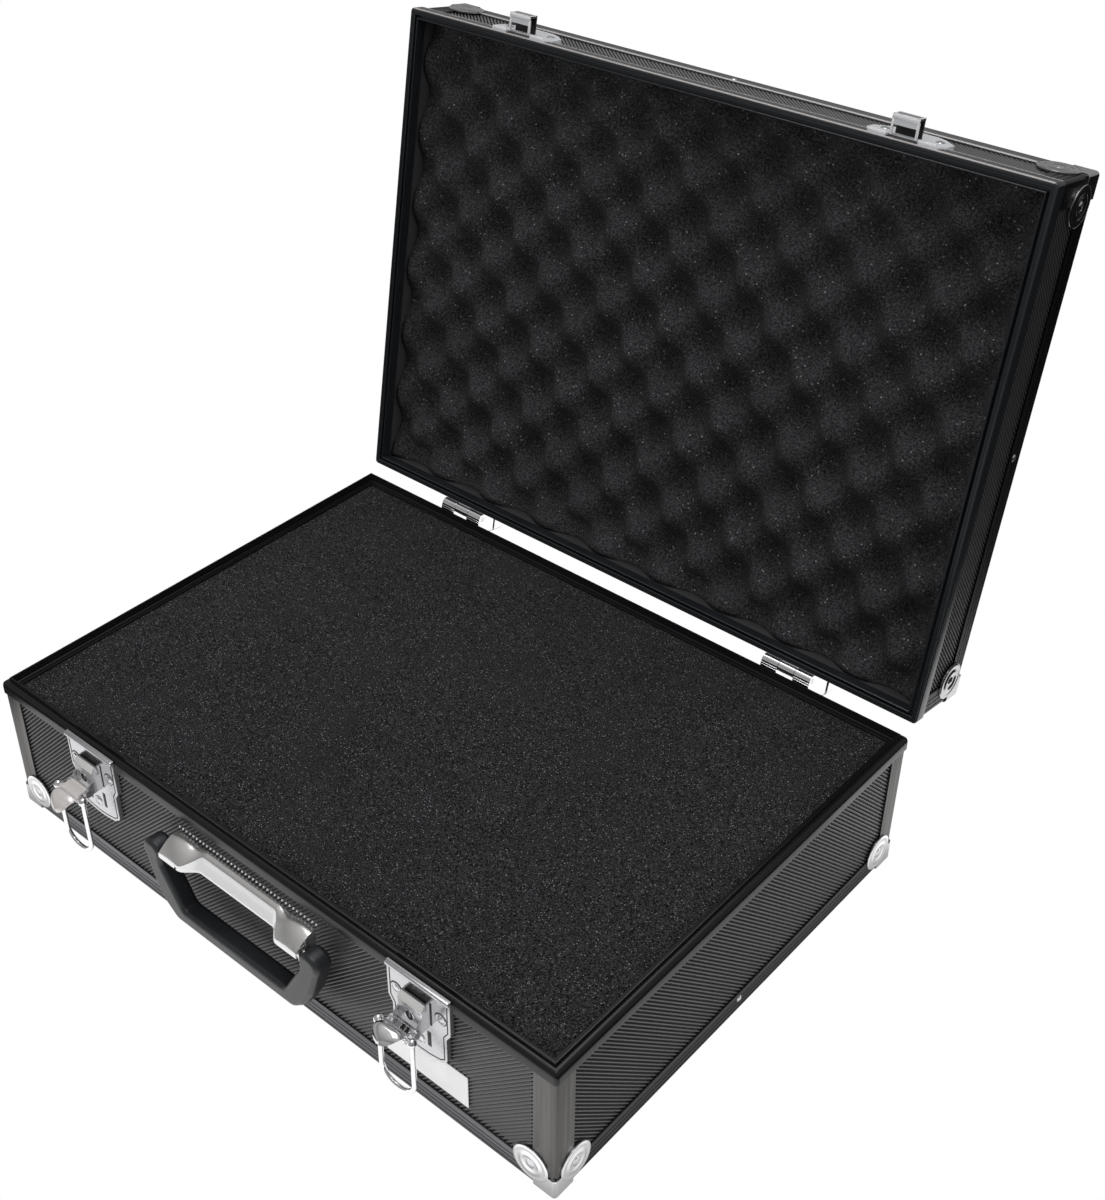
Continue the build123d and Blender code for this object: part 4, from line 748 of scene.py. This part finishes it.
for vertex in bm.verts:
    x = vertex.co.x * half_x
    y = vertex.co.y * half_y + middle_y
    from_hinge = case_shift + HALF_WIDE - y
    wave_x = math.cos(2.0 * math.pi * (x - CRATE_PIT_X) / CRATE_PITCH_X)
    wave_y = math.cos(2.0 * math.pi * (from_hinge - CRATE_PIT_V) / CRATE_PITCH_Y)
    edge_gap = min(half_x - abs(x), half_y - abs(y - middle_y))
    dip = (0.5 + 0.5 * wave_x * wave_y) ** 1.15
    dip *= CRATE_RIM_SHARE + (1.0 - CRATE_RIM_SHARE) * min(1.0, edge_gap / CRATE_RIM)
    wobble = abs(noise.noise(Vector((x * CRATE_RIPPLES, y * CRATE_RIPPLES, 7.0)))) * CRATE_WOBBLE
    drop = min(CRATE_LOWEST, CRATE_DEPTH * dip + edge_roll(edge_gap) + wobble - CRATE_LIFT)
    vertex.co = Vector((x, y, crate_low.z + drop))
close_below(bm, crate_high.z - FOAM_TUCK)
raise_lid(bm)
crate_sheet = add_piece(bm, "egg_crate_sheet", "lid", crate_foam, sharp_angle=70.0)
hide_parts("lid_foam")

# --- Hinges ---------------------------------------------------------------------------------
# Chromed steel leaves with rolled knuckles, riveted to the back of each half and joined by
# a pin. Fins on the leaves stop the lid when it is open.
for half in ("base", "lid"):
    for side in ("left", "right"):
        softened("hinge_" + half + "_leaf_" + side, half, polished_chrome, 0.00025)

# --- Draw latches ---------------------------------------------------------------------------
# Stamped steel plates with a folded top lip and a pressed border, each with a boxed lock
# housing, a thumb lever on a pin and a sprung wire loop with knobs at its eyes. The catches
# that they pull on are riveted to the lid, whose front edges carry painted highlight lines.
LATCH_MIDDLE = 137.5
PIVOT_OUT, PIVOT_UP, ARM = 12.3, 75.8, 7.0
LEVER_REST = {"left": 0.0, "right": 20.0}
LATCH_BORDER = ((20.9, 97.2), (-20.9, 97.2), (-20.9, 76.0), (-17.9, 71.0), (-17.9, 53.0), (-14.6, 50.6),
                (-7.0, 48.9), (0.0, 48.4), (7.0, 48.9), (14.6, 50.6), (17.9, 53.0), (17.9, 71.0),
                (20.9, 76.0))
RIVET_DIMPLE = ((2.6, -0.2), (2.6, 0.3), (3.0, 0.5), (3.5, 0.5), (3.9, 0.0), (3.9, -0.2))
DARK_RING = ((3.7, -0.2), (3.7, 0.12), (4.3, 0.12), (4.3, -0.2))
KEY_RING = ((2.95, -0.4), (2.95, 0.25), (3.2, 0.35), (3.5, 0.25), (3.6, -0.2), (3.6, -0.4))
BAIL_HALF, BAIL_WIRE, BAIL_LENGTH, BAIL_BEND = 12.1, 1.5, 44.49, 11.3
LEVER_HALF, LEVER_LENGTH, LEVER_RISE, LEVER_SHEET = 8.0, 19.3, 2.3, 1.0
THUMB_SWELL, THUMB_RISE, THUMB_FALL, THUMB_DOME = 1.2, 1.1, 8.0, 2.2
# Painted highlight bars on the lid's front edges: half length, out, top and bottom, in millimetres.
PAINTED_EDGE_HIGHLIGHTS = ((214.0, -0.8, 142.4, 139.1), (228.0, 0.0, 110.9, 109.3), (227.6, 0.0, 103.8, 101.8))
# Thin light bars on the edges of each catch and its hook: painted highlights.
CATCH_HIGHLIGHT_BARS = (((-8.2, 12.7, 103.0), (8.2, 13.05, 104.2)), ((-8.2, 12.7, 109.3), (8.2, 13.05, 110.5)),
              ((-8.2, 12.7, 103.0), (-7.0, 13.05, 110.5)), ((7.0, 12.7, 103.0), (8.2, 13.05, 110.5)),
              ((-8.4, 10.2, 102.9), (8.4, 12.8, 103.9)), ((-8.4, 1.4, 103.2), (-7.0, 10.8, 104.6)),
              ((7.0, 1.4, 103.2), (8.4, 10.8, 104.6)), ((-21.0, 0.5, 102.2), (-9.8, 2.6, 103.6)),
              ((9.8, 0.5, 102.2), (21.0, 2.6, 103.6)))
LIP_FOLD = ((22.4, 98.7), (-22.4, 98.7), (-22.4, 97.9), (22.4, 97.9))
SIDE_RIVETS, FOOT_RIVET = ((-16.0, 84.0), (16.0, 84.0)), (0.0, 57.0)
DARK_SLOTS = ((7.0, 1.4, 1.48, 55.6, 67.2), (9.2, 0.4, 1.5, 73.4, 91.0))
HOUSING_SLOPE = math.atan2(3.0, 3.5)


def spot(across, out, up):
    """A point from millimetres across, out of the front and above the floor."""
    return Vector((across * 0.001, case_shift - HALF_WIDE - out * 0.001, up * 0.001))


def smooth_step(value):
    """Runs softly from 0 to 1 as the value does, and stays there beyond them."""
    value = max(0.0, min(1.0, value))
    return value * value * (3.0 - 2.0 * value)


def rounded_block(bm, shape, rounding, segments=2):
    """A unit cube put through a matrix, with all its edges rounded."""
    made = bmesh.ops.create_cube(bm, size=1.0, matrix=shape)["verts"]
    bmesh.ops.bevel(bm, geom=list({edge for vertex in made for edge in vertex.link_edges}),
                    offset=rounding * 0.001, segments=segments, profile=0.5, affect="EDGES",
                    clamp_overlap=True, material=-1)


def rounded_bar(bm, middle, low, high, rounding, segments=2):
    """A rounded bar between two corners, in millimetres, across being counted from a middle."""
    low, high = (spot(middle + across, out, up) for across, out, up in (low, high))
    size = high - low
    shape = Matrix.Diagonal((abs(size.x), abs(size.y), abs(size.z), 1))
    rounded_block(bm, Matrix.Translation((low + high) / 2) @ shape, rounding, segments)


def rod_across(bm, radius, start, end, out, up, segments):
    """A rod that lies along X between two places, in millimetres."""
    stand = Matrix.Translation(spot((start + end) / 2, out, up)) @ Matrix.Rotation(math.pi / 2, 4, "Y")
    bmesh.ops.create_cone(bm, cap_ends=True, segments=segments, radius1=radius * 0.001,
                          radius2=radius * 0.001, depth=abs(end - start) * 0.001, matrix=stand)


def crease_line(bm, corners, out, width, height):
    """A narrow closed strip that follows an outline of (across, up) points on the front."""
    part = bmesh.new()
    plate = part.faces.new([part.verts.new(spot(x, out, z)) for x, z in corners])
    part.normal_update()
    bmesh.ops.inset_region(
        part, faces=[plate], thickness=width * 0.001, use_even_offset=True, use_boundary=True)
    bmesh.ops.delete(part, geom=[plate], context="FACES_ONLY")
    grown = bmesh.ops.extrude_face_region(part, geom=part.faces[:])
    bmesh.ops.translate(part, vec=(0.0, -height * 0.001, 0.0), verts=only_verts(grown["geom"]))
    merge_into(bm, part)


def thumb_lever(bm, middle, angle, lift):
    """A pressed lever: flat at its barrel, then a wider round thumb end that is domed."""
    spoon = bmesh.new()
    bmesh.ops.create_grid(spoon, x_segments=20, y_segments=34, size=1.0)
    for vertex in spoon.verts:
        v = vertex.co.x
        u = (vertex.co.y + 1.0) / 2.0
        swell = smooth_step((u - 0.40) / 0.14)
        fall = max(0.0, (u - 0.58) / 0.42)
        half = LEVER_HALF + THUMB_SWELL * swell
        half *= math.sqrt(max(0.0, 1.0 - 0.995 * fall ** 2.3))
        crease = 0.6 * math.exp(-((u - 0.42) / 0.045) ** 2)
        up = LEVER_RISE + THUMB_RISE * swell - crease - THUMB_FALL * fall ** 2.2
        up += lift * u ** 1.5 - swell * THUMB_DOME * v ** 4
        vertex.co = Vector((v * half, 0.2 + LEVER_LENGTH * u, up))
    bmesh.ops.recalc_face_normals(spoon, faces=spoon.faces)
    bmesh.ops.solidify(spoon, geom=spoon.faces[:], thickness=LEVER_SHEET)
    lean = math.radians(angle)
    for vertex in spoon.verts:
        across, out, up = vertex.co
        vertex.co = spot(middle + across, PIVOT_OUT + out * math.cos(lean) - up * math.sin(lean),
                         PIVOT_UP + up * math.cos(lean) + out * math.sin(lean))
    merge_into(bm, spoon)
    rod_across(bm, 2.6, middle - 7.6, middle + 7.6, PIVOT_OUT, PIVOT_UP, 32)
    eye_out, eye_up = PIVOT_OUT + ARM * math.cos(lean), PIVOT_UP + ARM * math.sin(lean)
    for sign in (-1.0, 1.0):
        rod_across(bm, 2.5, middle + sign * 7.8, middle + sign * 9.0, eye_out, eye_up, 24)


def wire_loop(bm, middle, eye_out, eye_up):
    """Round wire bent into a U that hangs from its two eyes."""
    start = spot(middle - BAIL_HALF, eye_out, eye_up)
    made = bmesh.ops.create_circle(
        bm, cap_ends=False, segments=16, radius=BAIL_WIRE * 0.001, matrix=Matrix.Translation(start))
    ring = list({edge for vertex in made["verts"] for edge in vertex.link_edges})
    drop = BAIL_LENGTH - BAIL_BEND
    flat = 2.0 * (BAIL_HALF - BAIL_BEND)

    def run(ring, step):
        grown = bmesh.ops.extrude_edge_only(bm, edges=ring)["geom"]
        bmesh.ops.translate(bm, vec=Vector(step) * 0.001, verts=only_verts(grown))
        return [e for e in grown if isinstance(e, bmesh.types.BMEdge)
                and all(v in grown for v in e.verts) and len(e.link_faces) == 1]

    def bend(ring, across):
        ends = ring + list({v for e in ring for v in e.verts})
        turned = bmesh.ops.spin(
            bm, geom=ends, cent=spot(across, eye_out, eye_up - drop), axis=(0, 1, 0),
            angle=-math.pi / 2, steps=14, use_merge=False)["geom_last"]
        return [item for item in turned if isinstance(item, bmesh.types.BMEdge)]

    ring = run(ring, (0, 0, -drop))
    ring = bend(ring, middle - BAIL_HALF + BAIL_BEND)
    ring = run(ring, (flat, 0, 0))
    ring = bend(ring, middle + BAIL_HALF - BAIL_BEND)
    run(ring, (0, 0, drop))
    close_holes(bm)
    for sign in (-1.0, 1.0):
        knob = Matrix.Translation(spot(middle + sign * 12.2, eye_out, eye_up))
        bmesh.ops.create_uvsphere(bm, u_segments=24, v_segments=14, radius=0.0029,
                                  matrix=knob @ Matrix.Diagonal((0.85, 1.0, 1.0, 1.0)))
        rod_across(bm, 1.3, middle + sign * 8.6, middle + sign * 12.0, eye_out, eye_up, 16)


def plain_finish(name, color, roughness, metallic):
    """A plated finish with an almost even colour."""
    second = tuple(value * 0.97 for value in color)
    return finish_material(name, color, second, roughness, 0.08, grain=240.0, patch=45.0,
                           depth=0.000001, Metallic=metallic)


# Thin light bars along the lid's front edges: painted highlights.
painted_edge_highlight = plain_finish("painted_edge_highlight", (0.58, 0.555, 0.55), 0.34, 0.1)
bm = bmesh.new()
for half, out, high, low in PAINTED_EDGE_HIGHLIGHTS:
    rounded_bar(bm, 0.0, (-half, out - 0.7, low), (half, out, high), 0.15)
raise_lid(bm)
add_piece(bm, "lid_front_edges", "lid", painted_edge_highlight)
satin_chrome = plain_finish("satin_chrome", (0.60, 0.60, 0.615), 0.19, 0.9)
housing_front_painted_shade = plain_finish("housing_front_painted_shade", (0.38, 0.38, 0.39), 0.28, 0.6)
housing_lip_painted_highlight = plain_finish("housing_lip_painted_highlight", (0.72, 0.72, 0.71), 0.25, 0.35)
catch_steel = plain_finish("catch_steel", (0.74, 0.75, 0.78), 0.30, 0.30)
# Painted highlight for the bars on the catches.
catch_painted_highlight = plain_finish("catch_painted_highlight", (0.95, 0.95, 0.97), 0.2, 0.3)
hook_grey = plain_finish("hook_grey", (0.30, 0.30, 0.32), 0.3, 0.6)
brown_satin = plain_finish("brown_satin", (0.72, 0.685, 0.67), 0.30, 0.4)
# Near-black for painted shade: in the housings, slots, creases and hook recesses, in a hole in the handle
# plate, and on the key plugs for their keyways.
painted_shade_black = plain_finish("painted_shade_black", (0.006, 0.006, 0.006), 0.5, 0.0)
for side, sign in (("left", -1.0), ("right", 1.0)):
    middle = sign * LATCH_MIDDLE
    lean = math.radians(LEVER_REST[side])
    softened("latch_plate_" + side, "base", satin_chrome, 0.0003)
    softened("latch_housing_" + side, "base", satin_chrome, 0.00035)
    catch = softened("lid_catch_" + side, "lid", catch_steel, 0.0003)
    catch.data.materials.append(painted_shade_black)
    catch.data.materials.append(hook_grey)
    # Faces inside the hook take the near-black, a painted shade; the hook's front face takes a darker grey.
    for face in catch.data.polygons:
        place = open_lid.inverted() @ face.center
        out = (case_shift - HALF_WIDE - place.y) * 1000.0
        across = abs(place.x * 1000.0 - middle)
        if across < 8.3 and 1.6 < out < 9.5:
            face.material_index = 1
        elif across < 6.9 and out > 12.7:
            face.material_index = 2
    bm = bmesh.new()
    for low, high in CATCH_HIGHLIGHT_BARS:
        rounded_bar(bm, middle, low, high, 0.35)
    raise_lid(bm)
    add_piece(bm, "catch_highlights_" + side, "lid", catch_painted_highlight)
    bm = bmesh.new()
    rounded_bar(bm, middle, (-22.7, 0.4, 98.6), (22.7, 3.2, 101.3), 0.9, 3)
    rounded_bar(bm, middle, (-22.3, 1.0, 96.9), (-20.9, 1.9, 98.2), 0.3)
    for across, up in (*SIDE_RIVETS, FOOT_RIVET):
        pressed_ring(bm, RIVET_DIMPLE, spot(middle + across, 1.4, up), (0, -1, 0), 28)
    pressed_ring(bm, KEY_RING, spot(middle, 8.2, 81.0), (0, -1, 0), 28)
    for start, end in ((8.5, 9.7), (-9.7, -8.5)):
        rod_across(bm, 2.7, middle + start, middle + end, PIVOT_OUT, PIVOT_UP, 28)
    add_piece(bm, "latch_trim_" + side, "base", satin_chrome)
    # Black pieces of painted shade: a block in the open housing, lines in the pressed border and under the
    # folded lip, rings round the side rivets, and fillers in the slots.
    bm = bmesh.new()
    rounded_bar(bm, middle, (-7.6, 1.5, 77.5), (7.6, 3.6, 89.2), 0.2)
    crease_line(bm, [(middle + x, z) for x, z in LATCH_BORDER], 1.2, 0.65, 0.32)
    crease_line(bm, [(middle + x, z) for x, z in LIP_FOLD], 1.2, 0.5, 0.32)
    for across, up in SIDE_RIVETS:
        pressed_ring(bm, DARK_RING, spot(middle + across, 1.4, up), (0, -1, 0), 28)
    for place, half, out, low, high in DARK_SLOTS:
        for across in (-place, place):
            rounded_bar(bm, middle, (across - half, 0.9, low), (across + half, out, high), 0.1)
    add_piece(bm, "latch_painted_shade_" + side, "base", painted_shade_black)
    bm = bmesh.new()
    # The housing's front wears a darker copy of the plating, a painted shade.
    rounded_bar(bm, middle, (-8.35, 7.4, 73.3), (8.35, 8.12, 87.5), 0.12)
    add_piece(bm, "housing_face_" + side, "base", housing_front_painted_shade)
    bm = bmesh.new()
    # Its sloped top lip wears a lighter copy of the plating, a painted highlight.
    slope = Matrix.Translation(spot(middle, 6.6, 89.9)) @ Matrix.Rotation(-HOUSING_SLOPE, 4, "X")
    rounded_block(bm, slope @ Matrix.Diagonal((0.0174, 0.0009, 0.0047, 1.0)), 0.3)
    add_piece(bm, "housing_lip_painted_highlight_" + side, "base", housing_lip_painted_highlight)
    bm = bmesh.new()
    thumb_lever(bm, middle, LEVER_REST[side], 3.4 if side == "right" else 0.0)
    paint = brown_satin if side == "left" else polished_chrome
    thumb = add_piece(bm, "thumb_lever_" + side, "lever_" + side, paint, 50.0)
    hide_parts("latch_lever_" + side)
    bm = bmesh.new()
    wire_loop(bm, middle, PIVOT_OUT + ARM * math.cos(lean), PIVOT_UP + ARM * math.sin(lean))
    loop = add_piece(bm, "wire_loop_" + side, "bail_" + side, polished_chrome, 50.0)
    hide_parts("latch_bail_" + side)
# The key plugs are black all over, painted shade for their keyways.
dress(["latch_lock_left", "latch_lock_right"], painted_shade_black)

# --- Handle ---------------------------------------------------------------------------------
# Black moulded grip between two steel pins on a pressed plate, which is deep over the pins,
# shallow between them and blends from one to the other in soft shoulders.
HUMP_VIEW = ((0.3, 82.3), (2.4, 82.4), (4.6, 82.2), (6.8, 81.6), (9.0, 80.5), (11.2, 79.1), (13.3, 77.5),
             (15.0, 76.1), (15.6, 75.5), (15.9, 74.8), (16.0, 73.0), (16.0, 71.2), (15.7, 70.7),
             (14.9, 70.6))
MIDDLE_VIEW = ((0.3, 82.3), (1.0, 82.4), (1.7, 82.3), (2.4, 82.1), (3.0, 81.9), (3.6, 81.7), (4.1, 81.4),
               (4.5, 81.1), (4.7, 80.8), (5.1, 79.9), (7.5, 72.6), (8.1, 71.9), (8.2, 70.6), (7.4, 70.2))
CREASE_ROW, HOOD_WALL = 8, 0.0009
HUMP_INNER, VALLEY_OUTER, PLATE_END = 42.0, 30.0, 58.5
HUMP_MIDDLE, HUMP_HALF, HUMP_ARCH = 50.0, 8.5, 0.9
REFLECTION_BEADS, REFLECTION_BEAD_START, REFLECTION_BEAD_PITCH = 39, -57.0, 3.04
hood_brown = plain_finish("hood_brown", (0.69, 0.68, 0.67), 0.22, 0.85)
hood_painted_highlight = plain_finish("hood_painted_highlight", (0.93, 0.93, 0.94), 0.32, 0.30)
handle_black = finish_material(
    "handle_black", (0.021, 0.022, 0.025), (0.016, 0.017, 0.019), 0.36, 0.16, grain=1300.0, patch=40.0,
    depth=0.00016, Specular_IOR_Level=0.45)
bm = bmesh.new()
last_row = len(HUMP_VIEW) - 1
bmesh.ops.create_grid(bm, x_segments=96, y_segments=last_row, size=1.0)
# Below the crease the lip takes a light copy of the plate's finish, a painted highlight.
for face in bm.faces:
    row = (face.calc_center_median().y + 1.0) / 2.0 * last_row
    face.material_index = 1 if row > CREASE_ROW else 0
for vertex in bm.verts:
    across = vertex.co.x * PLATE_END
    row = round((vertex.co.y + 1.0) / 2.0 * last_row)
    blend = smooth_step((abs(across) - VALLEY_OUTER) / (HUMP_INNER - VALLEY_OUTER))
    out, up = (low + (high - low) * blend for low, high in zip(MIDDLE_VIEW[row], HUMP_VIEW[row]))
    if row <= CREASE_ROW:
        up -= HUMP_ARCH * blend * ((abs(across) - HUMP_MIDDLE) / HUMP_HALF) ** 2
    vertex.co = spot(across, out, up)
bmesh.ops.recalc_face_normals(bm, faces=bm.faces)
if sum(face.normal.y for face in bm.faces) > 0.0:
    bmesh.ops.reverse_faces(bm, faces=bm.faces)
bmesh.ops.solidify(bm, geom=bm.faces[:], thickness=HOOD_WALL)
for sign in (-1.0, 1.0):
    rounded_bar(bm, 0.0, (sign * 57.2, 0.5, 66.6), (sign * 58.3, 13.5, 76.0), 0.4)
    rounded_bar(bm, 0.0, (sign * 57.2, 0.5, 75.0), (sign * 58.3, 8.0, 80.5), 0.4)
hood = add_piece(bm, "pressed_hood", "base", hood_brown, 28.0)
hood.data.materials.append(hood_painted_highlight)
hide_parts("handle_plate")
# A row of light beads above the plate, a painted reflection of the plate in the ribs over it.
bm = bmesh.new()
for reflection_bead in range(REFLECTION_BEADS):
    place = Matrix.Translation(spot(REFLECTION_BEAD_START + REFLECTION_BEAD_PITCH * reflection_bead, -0.6, 84.6))
    bmesh.ops.create_uvsphere(bm, u_segments=10, v_segments=6, radius=0.00075,
                              matrix=place @ Matrix.Diagonal((0.9, 1.0, 1.2, 1.0)))
add_piece(bm, "hood_painted_reflections", "base", hood_painted_highlight)
# A black ball in the plate's hole, painted shade.
bm = bmesh.new()
bmesh.ops.create_uvsphere(
    bm, u_segments=12, v_segments=8, radius=0.0008, matrix=Matrix.Translation(spot(-43.5, 15.9, 72.3)))
add_piece(bm, "hood_hole", "base", painted_shade_black)
dress(["handle_grip"], handle_black)

# --- Blank plate ----------------------------------------------------------------------------
# Thin plate of satin white plastic, glued to the front of the base under the right latch
# and left bare.
plate_white = finish_material(
    "plate_white", (0.97, 0.97, 0.97), (0.94, 0.94, 0.94), 0.35, 0.1, grain=300.0, patch=25.0,
    depth=0.00001)
dress(["label_plate"], plate_white)
